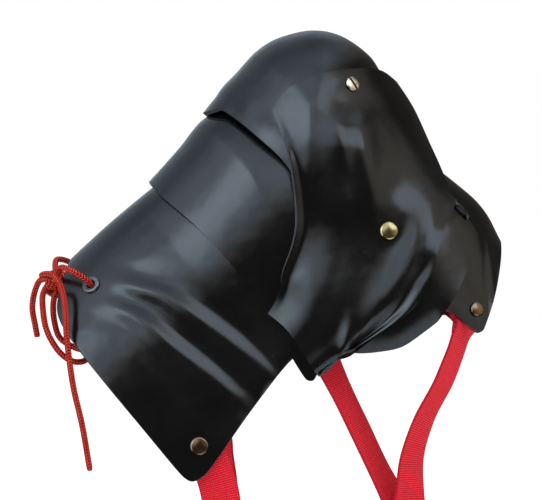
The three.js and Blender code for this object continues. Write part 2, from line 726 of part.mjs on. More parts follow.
// From the knot through the near eyelet, across inside the plate and out through the far eyelet
const lacingRoute = [
  ...outOfKnot([0.2, -0.9, 0.38]), thighPlace(98, 138.8, -41), thighPlace(94.5, 134.5, -50),
  thighPlace(91.3, 128, -55), ...throughEyelet(nearEyeletSeat, [6, 2, -3, -8]),
  thighPlace(89, 105.5, -31), thighPlace(89, 104, -16), thighPlace(89, 104, 0), thighPlace(89, 104, 16),
  thighPlace(89, 105.5, 31), ...throughEyelet(farEyeletSeat, [-8, -3, 2, 6]),
  thighPlace(91.3, 128, 55), thighPlace(94.5, 134.5, 50), thighPlace(97, 141, 36), thighPlace(99, 146, 18),
  thighPlace(101, 147.5, 2), thighPlace(103, 144.5, -10), ...outOfKnot([-0.2, 0.8, 0.56]).reverse(),
];
addPiece('lacing_cord', cordAlong(lacingRoute, 48), 'cord');

// The bow's loop hangs outside the rim, and its bight swings in behind the free edge
const bowRoute = [
  ...outOfKnot([-0.75, -0.2, -0.63]), [-191.5, -32, -59.5], [-190.6, -42, -68], [-187.4, -50, -82],
  [-182.2, -53, -92], [-176.5, -54, -99], [-169, -53, -103.5], [-162, -47, -103], [-161, -41, -98],
  [-170, -39, -95], [-179.5, -40, -88.5], [-183.5, -38, -77], [-184.5, -34, -66],
  ...outOfKnot([0, -0.5, -0.87]).reverse(),
];
addPiece('bow_loop', cordAlong(bowRoute, 30), 'cord');
const longTailRoute = [
  ...outOfKnot([-0.75, -0.6, 0.28]), [-192, -35, -47.5], [-189.5, -41, -46.5], [-184, -46, -46.8],
  [-178.5, -52, -52.5], [-174.8, -59, -62], [-173, -65, -72], [-172, -70, -84], [-167.5, -73, -117],
  [-161.5, -73, -143.5], [-156.5, -73, -172.5],
];
addPiece('lace_tail_long', cordAlong(longTailRoute, 28), 'cord');
const shortTailRoute = [
  ...outOfKnot([-0.85, 0.5, -0.1]), [-196, -14.5, -51.5], [-200, -11, -60], [-201.4, -10, -70],
  [-199.4, -10, -82], [-198, -10, -89.5],
];
addPiece('lace_tail_short', cordAlong(shortTailRoute, 12), 'cord');

// Webbing. A route lists places of the strap's middle with the direction across its width.

function strapAlong(route) {
  const stepsPerPlace = 2;
  const steps = stepsPerPlace * (route.length - 1);
  const centre = new THREE.CatmullRomCurve3(route.map(({ place }) => place), false, 'centripetal');
  const directions = route.map(({ across: direction }) => direction);
  const across = new THREE.CatmullRomCurve3(directions, false, 'catmullrom');
  const positions = [];
  const index = [];
  const corners = [[-1, -1], [1, -1], [1, 1], [-1, 1]];
  for (let i = 0; i <= steps; i += 1) {
    const t = i / steps;
    const tangent = centre.getTangent(t);
    const side = across.getPoint(t);
    side.addScaledVector(tangent, -side.dot(tangent)).normalize();
    const face = tangent.clone().cross(side);
    const middle = centre.getPoint(t);
    for (const [sideways, outward] of corners) {
      const corner = middle.clone()
        .addScaledVector(side, sideways * strapWidth / 2)
        .addScaledVector(face, outward * strapThickness / 2);
      positions.push(corner.x, corner.y, corner.z);
    }
  }
  const quad = (a, b, c, d) => index.push(a, b, c, a, c, d);
  const count = corners.length;
  for (let i = 0; i < steps; i += 1) {
    for (let k = 0; k < count; k += 1) {
      const a = count * i + k;
      const b = count * i + (k + 1) % count;
      quad(a, b, b + count, a + count);
    }
  }
  const last = count * steps;
  quad(0, 3, 2, 1);
  quad(last, last + 1, last + 2, last + 3);
  const geometry = new THREE.BufferGeometry();
  geometry.setAttribute('position', new THREE.Float32BufferAttribute(positions, 3));
  geometry.setIndex(index);
  geometry.computeVertexNormals();
  return geometry;
}

const vector = (x, y, z) => new THREE.Vector3(x, y, z);
const X = vector(1, 0, 0);
const Z = vector(0, 0, 1);

// Where a strap starts under a rivet: behind it and level with it
function strapRoot(seat, depthOfStack, heading) {
  const under = seat.place.clone().addScaledVector(seat.facing, -depthOfStack - strapDepth / 2 - seatGap / 2);
  const along = heading.clone().addScaledVector(seat.facing, -heading.dot(seat.facing)).normalize();
  const across = along.clone().cross(seat.facing);
  if (across.x < 0) across.negate();
  return [-strapEnd, 0, strapEnd]
    .map((step) => ({ place: under.clone().addScaledVector(along, step), across }));
}

// Places between two ends of a strap. Each row tells how far forward and how far down it is, how wide
// the strap hangs of a half width, and what share of a quarter turn its front edge is swung inwards.
function hung({ from, to, halfWidth, side, shares }) {
  return shares.map(([forwardShare, widthShare, fallShare, swingShare = 0]) => ({
    place: vector(
      THREE.MathUtils.lerp(from.x, to.x, forwardShare),
      side * halfWidth * widthShare,
      THREE.MathUtils.lerp(from.z, to.z, fallShare),
    ),
    across: X.clone().applyAxisAngle(Z, -side * swingShare * Math.PI / 2),
  }));
}

// Places round a bar that lies along X, from one turn to another about it, seen from the front
function roundBar(bar, radius, turns) {
  return turns.map((degrees) => {
    const turn = THREE.MathUtils.degToRad(degrees);
    return { place: bar.clone().add(vector(0, radius * Math.sin(turn), radius * Math.cos(turn))), across: X };
  });
}

const barRadius = buckleBar / 2;
const wrapRadius = barRadius + 2 * seatGap + strapThickness / 2 + layerGap;
const lapRise = wrapRadius - strapThickness - layerGap;

// A strap's end that goes round a buckle's bar and back under itself
function looped(bar, side) {
  const level = (back, rise) => ({ place: bar.clone().add(vector(0, side * back, rise)), across: X });
  return [
    level(strapLap / 3, wrapRadius),
    ...roundBar(bar, wrapRadius, [0, 45, 90, 135, 180].map((degrees) => -side * degrees)),
    level(strapLap / 4, -wrapRadius),
    level(strapLap / 2, -lapRise),
  ];
}

// The thigh strap hangs in a loop under the thigh, and its buckle closes it at the bottom
const thighHangShares = [[0.66, 0.895, 0.17], [0.88, 0.895, 0.3], [0.97, 0.875, 0.486], [1, 0.81, 0.676],
  [1, 0.7, 0.842], [1, 0.553, 0.94]];

function thighStrapRoute(seat, barReach, side) {
  const bar = vector(-thighLoopBack, side * barReach, -thighLoopDrop);
  const back = vector(Math.sin(thighTilt), 0, -Math.cos(thighTilt));
  return [
    ...strapRoot(seat, leather, back),
    ...hung({ from: seat.place, to: bar, halfWidth: thighFreeHalfWidth, side, shares: thighHangShares }),
    ...looped(bar, side),
  ];
}

// A yoke runs from the thigh pivot down round its ring and up to the shin plate, as one length
const kneeBranchShares = [[0.295, 0.839, 0.259], [0.51, 0.832, 0.476], [0.735, 0.825, 0.708],
  [0.912, 0.815, 0.874]];
const shinBranchShares = {
  near: [[0.967, 0.896, 0.84], [0.935, 0.882, 0.673, 0.1], [0.761, 0.853, 0.499, 0.35],
    [0.48, 0.804, 0.331, 0.55], [0.304, 0.747, 0.199, 0.5]],
  far: [[0.955, 0.896, 0.844], [0.912, 0.882, 0.68, 0.1], [0.677, 0.853, 0.51, 0.35],
    [0.296, 0.804, 0.347, 0.55], [0.064, 0.747, 0.218, 0.5]],
};
const rings = {
  near: vector(nearRingAhead, -ringInset, -nearRingDrop),
  far: vector(farRingAhead, ringInset, -farRingDrop),
};

function yokeRoute(pivotSeat, shinSeat, side, name) {
  const bar = rings[name];
  const halfWidth = copHalfWidth;
  const riseOver = vector(0, 0, ringWire + strapThickness);
  const beside = (sign) => ({
    place: bar.clone().add(vector(0, side * sign * wrapRadius, 0)).add(riseOver), across: X,
  });
  return [
    ...strapRoot(pivotSeat, threePlates, bar.clone().sub(pivotSeat.place)),
    ...hung({ from: pivotSeat.place, to: bar, halfWidth, side, shares: kneeBranchShares }),
    beside(-1),
    ...roundBar(bar, wrapRadius, [270, 210, 150, 90].map((degrees) => side * degrees)),
    beside(1),
    ...hung({ from: shinSeat.place, to: bar, halfWidth, side, shares: shinBranchShares[name] }),
    ...strapRoot(shinSeat, leather + curveRoom, vector(-0.35, 0, -0.93)).reverse(),
  ];
}

// A calf strap hangs from its ring, and its buckle closes the loop at the bottom
const calfHangShares = [[0.54, 0.917, 0.542], [0.73, 0.833, 0.725], [0.9, 0.7, 0.872]];

function calfStrapRoute(barReach, side, name) {
  const ringBar = rings[name].clone().add(vector(0, 0, -ringWindow - ringWire));
  const bar = vector(calfLoopAhead, side * barReach, -calfLoopDrop);
  const hanging = (out, fall) => ({ place: ringBar.clone().add(vector(0, side * out, -fall)), across: X });
  return [
    hanging(lapRise, strapLap / 2),
    hanging(wrapRadius, strapLap / 4),
    ...roundBar(ringBar, wrapRadius, [90, 30, -30, -90].map((degrees) => side * degrees)),
    hanging(-wrapRadius, strapLap / 3),
    ...hung({ from: ringBar, to: bar, halfWidth: ringInset, side, shares: calfHangShares }),
    ...looped(bar, side),
  ];
}

const socketBarReach = socketLength - barRadius;
const plugBarReach = plugLength - barRadius;
const sides = [[nearSide, 0, 'near'], [farSide, 1, 'far']];
for (const [side, i, name] of sides) {
  const barReach = side === nearSide ? socketBarReach : plugBarReach;
  const thighStrap = strapAlong(thighStrapRoute(seats.thighStrap[i], barReach, side));
  addPiece(`thigh_strap_${name}`, cut(thighStrap, [drill(seats.thighStrap[i], rivetHole)]), 'webbing');
  const yokeSeats = [seats.thighPivot[i], seats.shinStrap[i]];
  const yoke = strapAlong(yokeRoute(...yokeSeats, side, name));
  addPiece(`yoke_strap_${name}`, cut(yoke, yokeSeats.map((seat) => drill(seat, rivetHole))), 'webbing');
  addPiece(`calf_strap_${name}`, strapAlong(calfStrapRoute(barReach, side, name)), 'webbing');
}

// Rings of the yokes

function roundedOutline(width, length, radius) {
  const [halfWide, halfLong] = [width / 2, length / 2];
  const outline = new THREE.Shape();
  outline.moveTo(halfWide - radius, -halfLong);
  outline.absarc(halfWide - radius, -halfLong + radius, radius, -Math.PI / 2, 0);
  outline.absarc(halfWide - radius, halfLong - radius, radius, 0, Math.PI / 2);
  outline.absarc(-halfWide + radius, halfLong - radius, radius, Math.PI / 2, Math.PI);
  outline.absarc(-halfWide + radius, -halfLong + radius, radius, Math.PI, 1.5 * Math.PI);
  return outline;
}

function slab(outline, height, bevel) {
  return new THREE.ExtrudeGeometry(outline, {
    depth: height - 2 * bevel, bevelEnabled: bevel > 0, bevelThickness: bevel, bevelSize: bevel,
    bevelOffset: -bevel, bevelSegments: 1, curveSegments: 2,
  }).translate(0, 0, -height / 2 + bevel);
}

const webbingWindow = strapWidth + 2 * layerGap;
const ringOutline = roundedOutline(webbingWindow + 2 * ringWire, ringWindow + 2 * ringWire, ringWire);
ringOutline.holes.push(roundedOutline(webbingWindow, ringWindow, ringWire / 2));
for (const [name, bar] of Object.entries(rings)) {
  const ring = slab(ringOutline, buckleBar, 0)
    .rotateX(Math.PI / 2)
    .translate(bar.x, bar.y, bar.z - (ringWindow + ringWire) / 2);
  addPiece(`yoke_ring_${name}`, ring, 'steel');
}

// Side-release buckles. The socket reaches back from the middle of the loop, the plug forward.

function buckleSocket() {
  const outline = roundedOutline(buckleWidth, socketLength, buckleWall);
  const body = slab(outline, buckleHeight, seatGap * 2);
  const frameLength = buckleBar + buckleWindow;
  const thinner = buckleHeight / 2 - barRadius;
  const shave = (sign) => new THREE.BoxGeometry(2 * buckleWidth, frameLength, thinner * 2)
    .translate(0, -socketLength / 2 + frameLength / 2 - seatGap, sign * buckleHeight / 2);
  const window = new THREE.BoxGeometry(webbingWindow, buckleWindow, 2 * buckleHeight)
    .translate(0, -socketLength / 2 + buckleBar + buckleWindow / 2, 0);
  const cavityLength = prongLength - buckleWall;
  const cavityHeight = prongWidth + 2 * seatGap;
  const cavity = new THREE.BoxGeometry(buckleWidth - 2 * buckleWall, 2 * cavityLength, cavityHeight)
    .translate(0, socketLength / 2, 0);
  const side = new THREE.BoxGeometry(2 * buckleWidth, cavityLength / 2, cavityHeight)
    .translate(0, socketLength / 2 - cavityLength * 0.62, 0);
  return cut(body, [shave(1), shave(-1), window, cavity, side]).translate(0, -socketLength / 2, 0);
}

function bucklePlug() {
  const outline = roundedOutline(buckleWidth, plugLength, buckleWall);
  outline.holes.push(roundedOutline(webbingWindow, plugLength - 2 * buckleBar, buckleWall / 2));
  const frame = slab(outline, buckleBar, 0).translate(0, plugLength / 2 + seatGap, 0);
  const inside = buckleWidth / 2 - buckleWall - seatGap;
  const tip = prongLength - buckleWall - 2 * seatGap;
  const prongs = [1, -1].map((sign) => {
    const prong = new THREE.Shape();
    prong.moveTo(sign * (inside - prongWidth), buckleBar);
    prong.lineTo(sign * inside, buckleBar);
    prong.lineTo(sign * (inside - prongWidth / 3), -tip * 0.3);
    prong.lineTo(sign * (inside + buckleWall / 2), -tip * 0.45);
    prong.lineTo(sign * (inside - prongWidth / 2), -tip);
    prong.lineTo(sign * (inside - prongWidth), -tip * 0.9);
    return slab(prong, prongWidth - 2 * seatGap, 0);
  });
  return join([frame, ...prongs]);
}

const loops = [['thigh', -thighLoopBack, thighLoopDrop], ['calf', calfLoopAhead, calfLoopDrop]];
for (const [name, ahead, drop] of loops) {
  addPiece(`${name}_buckle_socket`, buckleSocket().translate(ahead, 0, -drop), 'plastic');
  addPiece(`${name}_buckle_plug`, bucklePlug().translate(ahead, 0, -drop), 'plastic');
}

export default poleyn;
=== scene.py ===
"""Winged poleyn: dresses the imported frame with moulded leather, webbing, a braided lacing cord and
metal fittings, one operator for each group of pieces."""
import json
import math

import bmesh
import bpy
import numpy as np
from mathutils import Matrix, Vector


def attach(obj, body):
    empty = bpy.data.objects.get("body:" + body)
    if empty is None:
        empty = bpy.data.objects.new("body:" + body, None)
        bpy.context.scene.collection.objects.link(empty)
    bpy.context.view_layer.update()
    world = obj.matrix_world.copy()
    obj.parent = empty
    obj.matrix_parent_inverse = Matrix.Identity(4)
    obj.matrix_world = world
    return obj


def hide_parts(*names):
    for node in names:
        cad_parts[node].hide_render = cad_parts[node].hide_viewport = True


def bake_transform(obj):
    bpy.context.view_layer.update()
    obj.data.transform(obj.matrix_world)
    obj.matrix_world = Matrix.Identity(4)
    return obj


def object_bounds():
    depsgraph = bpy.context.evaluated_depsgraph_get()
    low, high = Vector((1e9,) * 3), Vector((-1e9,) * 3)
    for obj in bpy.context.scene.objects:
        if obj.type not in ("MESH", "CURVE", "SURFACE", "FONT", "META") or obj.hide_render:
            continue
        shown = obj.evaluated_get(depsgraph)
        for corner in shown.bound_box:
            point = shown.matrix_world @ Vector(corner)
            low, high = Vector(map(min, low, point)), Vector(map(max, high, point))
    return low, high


bl_info = {
    "name": "Winged Poleyn",
    "version": (1, 0, 0),
    "blender": (4, 5, 0),
    "location": "3D View > Sidebar > Poleyn",
    "description": "Leather knee armour with a side wing, webbing straps and a red lacing",
    "category": "Add Mesh",
}

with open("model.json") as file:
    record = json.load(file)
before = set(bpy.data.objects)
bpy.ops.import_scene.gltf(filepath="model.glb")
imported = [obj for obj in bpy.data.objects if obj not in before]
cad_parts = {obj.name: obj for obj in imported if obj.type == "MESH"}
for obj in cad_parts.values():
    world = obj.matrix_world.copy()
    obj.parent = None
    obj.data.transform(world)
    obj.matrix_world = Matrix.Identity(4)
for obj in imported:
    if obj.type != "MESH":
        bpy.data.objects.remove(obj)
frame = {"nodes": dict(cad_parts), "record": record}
CAD_BOX = [list(corner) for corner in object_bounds()]

MM = 0.001
NEAR, FAR = -1, 1

# Sizes in millimetres, as the frame has them
LEATHER, NEST, SEAT = 3.0, 0.6, 0.3
THIGH_TILT = math.radians(39.8)
THIGH_PIVOT = np.array([-14.4, -86.1])
SHIN_PIVOT = np.array([35.6, -18.4])
SCREW = np.array([12.8, 77.2])
EYELET = np.array([89.5, 117.0])
THIGH = {"tilted": True, "reach": 121.0, "height": 143.4, "half": 63.1, "free_half": 76.0, "shoulder": 91.0}
LAME = {"tilted": True, "reach": 75.0, "height": 155.0, "half": 66.7, "shoulder": 88.0}
COP = {"tilted": False, "reach": 93.8, "height": 118.5, "half": 70.3, "shoulder": 82.0, "draw": 5.0,
       "tuck": 3.4, "tuck_reach": 15.0}
SHIN = {"tilted": False, "reach": 116.0, "height": 84.4, "half": 66.7, "shoulder": 98.0, "flute": 0.8}
WING = {"tilted": False, "reach": 84.0, "height": 110.6, "half": 74.2, "standoff": 8.0, "flare": 2.6,
        "lip": 2.4, "lobe": 7.0, "flute": 2.1, "crease": 1.9, "dome": 7.5, "fold": 3.0, "belly": 3.6}
CAP_RADIUS, SMALL_CAP_RADIUS = 6.0, 4.9
LACE = 4.0
KNOT = {"along": 106.0, "rise": 136.5, "aside": 24.0, "radius": 5.0, "wraps": 2.2, "wrap_radius": 4.3,
        "wraps_from": 4.5, "wraps_length": 7.6}
STRAP = {"width": 25.0, "thick": 1.4, "layer": 0.6, "room": 1.2, "end": 9.0, "lap": 26.0}
BAR = 3.0
TURN_STEPS, CORD_SIDES, WEB_COLUMNS, WEB_STEPS = 48, 14, 10, 8
CAMERA_AIM = (-0.040165, -0.030635)
THIGH_LOOP = {"back": 70.0, "drop": 283.0}
CALF_LOOP = {"ahead": 52.0, "drop": 283.0}
RING = {"wire": 3.4, "window": 12.0, "inset": 60.0}
RINGS = {"near": Vector((48.0, -60.0, -213.0)), "far": Vector((56.5, 60.0, -231.0))}


# Curves and forms of the side view

def clamp(value, low=0.0, high=1.0):
    return np.minimum(np.maximum(value, low), high)


def smoothstep(value, low, high):
    share = clamp((value - low) / (high - low))
    return share * share * (3 - 2 * share)


def falling(value, low, high):
    return 1 - smoothstep(value, low, high)


def unit(rows):
    return rows / np.linalg.norm(rows, axis=1)[:, None]


def in_part(places):
    """Takes places from the thigh's own directions to the part's."""
    places = np.atleast_2d(places)
    along = np.array([-math.cos(THIGH_TILT), -math.sin(THIGH_TILT)])
    front = np.array([-math.sin(THIGH_TILT), math.cos(THIGH_TILT)])
    return THIGH_PIVOT + places[:, :1] * along + places[:, 1:] * front


def placed(plate, shares):
    """Places of the side view from shares of a plate's reach and height."""
    places = np.array(shares, float) * (plate["reach"], plate["height"])
    return in_part(places) if plate["tilted"] else places


def cubic(here, there, leaving, arriving, part):
    """Places between two places, from the ways out of one and into the other."""
    return ((2 * here - 2 * there + leaving + arriving) * part ** 3
            + (-3 * here + 3 * there - 2 * leaving - arriving) * part ** 2 + leaving * part + here)


def lengths(path):
    return np.concatenate([[0], np.cumsum(np.linalg.norm(np.diff(path, axis=0), axis=1))])


def spline_at(places, share):
    """Places on the spline through some places, for shares of its parameter."""
    last = len(places) - 1
    spot = clamp(share) * last
    start = np.minimum(np.floor(spot).astype(int), last - 1)
    part = (spot - start)[:, None]
    before = places[np.maximum(start - 1, 0)]
    here, there = places[start], places[start + 1]
    after = places[np.minimum(start + 2, last)]
    return cubic(here, there, (there - before) / 2, (after - here) / 2, part)


def curve_through(places):
    """A curve whose share runs evenly along its length."""
    steps = np.linspace(0, 1, 201)
    length = lengths(spline_at(places, steps))
    return lambda share: spline_at(places, np.interp(clamp(share) * length[-1], length, steps))


def patch_between(edges):
    """A patch of the side view between four edges."""
    first, last, crown, back = (edges[name] for name in ("first", "last", "crown", "back"))
    ends = [curve(np.array([0.0, 1.0])) for curve in (crown, back)]

    def patch(u, q):
        uu, qq = u[:, None], q[:, None]
        return (first(q) * (1 - uu) + last(q) * uu + crown(u) * (1 - qq) + back(u) * qq
                - ends[0][0] * (1 - uu) * (1 - qq) - ends[0][1] * uu * (1 - qq)
                - ends[1][0] * (1 - uu) * qq - ends[1][1] * uu * qq)
    return patch


def depth_inside(crown_line):
    """How far places lie inside a crown line that has the front of the leg on its left."""
    samples = curve_through(crown_line)(np.linspace(0, 1, 161))
    starts, along = samples[:-1], np.diff(samples, axis=0)

    def depth(places):
        offset = places[:, None, :] - starts[None]
        share = clamp((offset * along).sum(2) / (along ** 2).sum(1))
        distance = np.linalg.norm(offset - share[..., None] * along, axis=2)
        nearest = distance.argmin(1)
        row = np.arange(len(places))
        turn = along[nearest, 1] * offset[row, nearest, 0] - along[nearest, 0] * offset[row, nearest, 1]
        return np.sign(turn) * distance[row, nearest]
    return depth


def rounded_width(depth, shoulder):
    left = 1 - clamp(depth / shoulder)
    return np.sqrt(1 - left * left)


def inward_at(edges, u):
    """The direction square to the crown that points into a plate."""
    along = unit(edges["crown"](u + 0.02) - edges["crown"](u - 0.02))
    inward = np.stack([along[:, 1], -along[:, 0]], 1)
    facing = np.sign((inward * (edges["back"](u) - edges["crown"](u))).sum(1))
    return inward * facing[:, None]


def arched_face(plate, edges, depth_of, relief=None, width_of=None):
    """The outer face of an arched plate. u runs from rim to rim, and w from side to side."""
    patch, shoulder = patch_between(edges), plate["shoulder"]
    wall = 0.3

    def face(u, w):
        around = np.abs(2 * w - 1)
        span = np.linalg.norm(edges["crown"](u) - edges["back"](u), axis=1)
        bend = np.minimum(shoulder / span, 1 - wall / 2)
        q = np.where(around < 1 - wall, bend * (1 - np.cos(around / (1 - wall) * math.pi / 2)),
                     bend + (1 - bend) * (around - 1 + wall) / wall)
        square = edges["crown"](u) + inward_at(edges, u) * (q * span)[:, None]
        leaving = (falling(q, 0, 0.4) * np.minimum(1, 5 * u * (1 - u)))[:, None]
        place = patch(u, q) * (1 - leaving) + square * leaving
        rounded = rounded_width(depth_of(place), shoulder)
        half_width = width_of(place) if width_of else plate["half"]
        width = np.where(around == 0, 0, half_width * rounded)
        swell = relief(place) * rounded if relief else 0
        return np.stack([place[:, 0], np.sign(2 * w - 1) * (width + swell), place[:, 1]], 1)
    return face


THIGH_CROWN = [(-0.14, 0.994), (0.178, 1), (0.471, 1), (0.76, 0.988)]
LAME_CROWN = [(-0.933, 0.94), (-0.533, 1.011), (-0.14, 0.981), (0.247, 0.954)]
COP_CROWN = [(-0.922, 0.526), (-0.842, 0.603), (-0.784, 0.672), (-0.682, 0.755), (-0.617, 0.814),
             (-0.53, 0.884), (-0.385, 0.954), (-0.145, 1), (0.072, 0.971), (0.276, 0.862), (0.377, 0.747),
             (0.522, 0.565), (0.661, 0.354)]
COP_BACK = [(-0.26, -0.79), (-0.18, -0.82), (0.081, -0.803), (0.163, -0.822), (0.322, -0.814),
            (0.48, -0.785), (0.638, -0.7), (0.72, -0.65)]
COP_FORM = [(-1.5, -0.1), *COP_CROWN, (0.75, 0.27), (0.92, 0.16), (1.1, 0.05), (1.3, -0.2)]
SHIN_CROWN = [(0.446, 0.509), (0.556, 0.373), (0.734, 0.178), (0.851, 0.04), (0.93, -0.1), (0.997, -0.282)]


def edges_of(plate, first, last, crown, back):
    return {name: curve_through(placed(plate, shares)) for name, shares in
            (("first", first), ("last", last), ("crown", crown), ("back", back))}


THIGH_EDGES = edges_of(
    THIGH,
    [(-0.14, 0.994), (-0.14, 0.7), (-0.124, 0.28), (-0.107, 0), (-0.083, -0.056)],
    [(0.76, 0.988), (0.82, 0.953), (0.93, 0.875), (0.983, 0.809), (1, 0.7), (1, 0.42), (1, 0.18),
     (1, -0.1), (0.987, -0.153)],
    THIGH_CROWN,
    [(-0.083, -0.056), (-0.017, -0.084), (0.066, -0.063), (0.169, -0.03), (0.554, -0.1), (0.864, -0.169),
     (0.947, -0.172), (0.987, -0.153)])
LAME_EDGES = edges_of(
    LAME,
    [(-0.933, 0.94), (-1.02, 0.613), (-0.82, 0.31), (-0.4, 0.05), (-0.16, -0.065)],
    [(0.247, 0.954), (0.235, 0.871), (0.153, 0.637), (0.135, 0.385), (0.172, 0.167), (0.25, -0.03),
     (0.275, -0.125)],
    LAME_CROWN,
    [(-0.16, -0.065), (0, -0.092), (0.192, -0.145), (0.25, -0.145), (0.275, -0.125)])
COP_EDGES = edges_of(
    COP,
    [(-0.922, 0.526), (-0.84, 0.532), (-0.772, 0.53), (-0.541, 0.378), (-0.297, 0.178), (-0.16, -0.118),
     (-0.203, -0.43), (-0.277, -0.68), (-0.26, -0.79)],
    [(0.661, 0.354), (0.789, 0.101), (0.868, -0.021), (0.95, -0.084), (1, -0.149), (0.981, -0.253),
     (0.94, -0.351), (0.9, -0.422), (0.837, -0.515), (0.72, -0.65)],
    COP_CROWN, COP_BACK)
SHIN_EDGES = edges_of(
    SHIN,
    [(0.446, 0.509), (0.309, 0.261), (0.226, 0), (0.2, -0.237), (0.235, -0.42)],
    [(0.997, -0.282), (0.973, -0.457), (0.935, -0.671), (0.887, -0.861), (0.852, -0.975)],
    SHIN_CROWN,
    [(0.235, -0.42), (0.32, -0.53), (0.48, -0.687), (0.667, -0.838), (0.8, -0.985), (0.83, -1),
     (0.852, -0.975)])
WING_EDGES = edges_of(
    WING,
    [(-0.47, 0.542), (-0.333, 0.245), (-0.28, -0.074), (-0.311, -0.248), (-0.387, -0.404),
     (-0.418, -0.537), (-0.501, -0.647)],
    [(0.524, 0.741), (0.671, 0.571), (0.805, 0.328), (0.904, 0.115), (0.955, 0.005), (0.9, -0.08),
     (0.874, -0.112), (0.818, -0.236), (0.756, -0.405), (0.695, -0.48), (0.62, -0.601), (0.488, -0.683),
     (0.354, -0.752), (0.163, -0.844), (0.087, -0.856)],
    [(-0.47, 0.542), (-0.393, 0.628), (-0.292, 0.695), (-0.096, 0.753), (0.102, 0.789), (0.376, 0.802),
     (0.524, 0.741)],
    [(-0.501, -0.647), (-0.364, -0.734), (-0.242, -0.867), (-0.127, -1), (-0.098, -0.988),
     (0.032, -0.884), (0.087, -0.856)])


def thigh_share(place):
    offset = place - THIGH_PIVOT
    return -(offset[:, 0] * math.cos(THIGH_TILT) + offset[:, 1] * math.sin(THIGH_TILT)) / THIGH["reach"]


def thigh_width(place):
    flare = clamp((thigh_share(place) - 0.26) / 0.74, 0, 1.2)
    return THIGH["half"] + (THIGH["free_half"] - THIGH["half"]) * flare


THIGH_RIDGES = [
    (2.7, depth_inside(np.array([(-147.6, -50.6), (-127.6, -55.1), (-108.3, -61.5), (-85.8, -78.2),
                                 (-71.7, -89.2), (-42.7, -112.9)]))),
    (2.1, depth_inside(np.array([(-150.1, -64.1), (-127.6, -73.7), (-107, -91.7), (-89, -105.2),
                                 (-60.1, -128.4)]))),
]
RIDGE = {"breadth": 3.6, "spread": 0.045, "hollow": 0.5, "hollow_aside": 1.9, "hollow_breadth": 1.2}


def thigh_flutes(place):
    """Two ridges that fan out from the eyelet over the thigh plate's side, with hollows beside them."""
    distance = np.linalg.norm(place - in_part(EYELET), axis=1)
    height = 0
    for rise, depth_of in THIGH_RIDGES:
        aside = depth_of(place) / (RIDGE["breadth"] + RIDGE["spread"] * distance)
        hollow = ((np.abs(aside) - RIDGE["hollow_aside"]) / RIDGE["hollow_breadth"]) ** 2
        height = height + rise * (np.exp(-aside ** 2) - RIDGE["hollow"] * np.exp(-hollow))
    return height * smoothstep(distance, 9, 34) * smoothstep(thigh_share(place), 0.1, 0.3)


def shin_flutes(place):
    along = place[:, 0] / SHIN["reach"]
    return SHIN["flute"] * np.cos(along * 90) * smoothstep(along, 0.8, 0.9)


def swell_at(value, middle, before, after):
    """A soft bump with its own reach on either side."""
    return np.exp(-((value - middle) / np.where(value < middle, before, after)) ** 2)


def wing_relief(place):
    """The wing's dome and the flutes down it, its belly, the crease above the lobe and the front folds."""
    ahead, above = place[:, 0] / WING["reach"], place[:, 1] / WING["height"]
    bend = ahead - 0.02 - 0.12 * (0.5 - above)
    dome = swell_at(bend, 0.17, 0.42, 0.26) * smoothstep(above, -0.15, 0.35) * falling(above, 0.3, 0.76)
    flutes = swell_at(bend, 0.02, 0.17, 0.08) + 1.1 * swell_at(bend, 0.21, 0.09, 0.08)
    upper = smoothstep(above, -0.25, 0.25) * falling(above, 0.3, 0.7)
    crease_line = ahead - 0.09 - 0.14 * (above + 0.86)
    crease = swell_at(crease_line, 0, 0.05, 0.05) * falling(above, -0.85, -0.55)
    arch = ahead + 0.8 * (above - 0.094) ** 2
    folds = (swell_at(arch, 0.77, 0.17, 0.1) * falling(above, 0.3, 0.6)
             + 0.6 * swell_at(arch, 0.97, 0.08, 0.07) * falling(above, -0.3, 0))
    belly = swell_at(ahead, 0.45, 0.45, 0.3) * swell_at(above, -0.6, 0.3, 0.22)
    flat = 1.0
    for seat, reach in ((SHIN_PIVOT, 3), (SCREW, 5)):
        flat = flat * smoothstep(np.linalg.norm(place - seat, axis=1), CAP_RADIUS, reach * CAP_RADIUS)
    return flat * (WING["dome"] * dome + WING["flute"] * flutes * upper + WING["fold"] * folds
                   + WING["belly"] * belly + WING["crease"] * crease)


thigh_depth = depth_inside(placed(THIGH, [(-0.5, 0.97), *THIGH_CROWN, (1.2, 0.965)])[::-1])
lame_depth = depth_inside(placed(LAME, [(-1.6, 0.7), *LAME_CROWN, (0.7, 0.93)])[::-1])
cop_depth = depth_inside(placed(COP, COP_FORM))
cop_lower_edge = depth_inside(placed(COP, COP_BACK[1:]))
shin_depth = depth_inside(placed(SHIN, [(0.1, 0.8), *SHIN_CROWN, (1.2, -0.8), (1.45, -1.4)]))
thigh_face = arched_face(THIGH, THIGH_EDGES, thigh_depth, thigh_flutes, thigh_width)
lame_face = arched_face(LAME, LAME_EDGES, lame_depth)
cop_face = arched_face(COP, COP_EDGES, cop_depth)
shin_face = arched_face(SHIN, SHIN_EDGES, shin_depth, shin_flutes)
wing_patch = patch_between(WING_EDGES)


def drawn_in_cop(u, w):
    """The cop's outer face, its rim drawn in a little to the lame and its lower edge tucked under."""
    face = cop_face(u, w)
    place, width = face[:, [0, 2]], np.abs(face[:, 1])
    layer = LEATHER + NEST + 1.0
    close = (LAME["half"] + layer) * rounded_width(lame_depth(place) + layer, LAME["shoulder"] + layer)
    drawn = COP["draw"] * np.tanh(np.maximum(width - close, 0) / COP["draw"])
    width = width - drawn * (falling(u, 0, 0.22) * smoothstep(cop_depth(place), 1, 18))
    tuck = 1 - clamp(np.abs(cop_lower_edge(place)) / COP["tuck_reach"])
    width = np.maximum(width - COP["tuck"] * tuck ** 2 * smoothstep(u, 0.25, 0.45), 0)
    return np.stack([face[:, 0], np.sign(face[:, 1]) * width, face[:, 2]], 1)


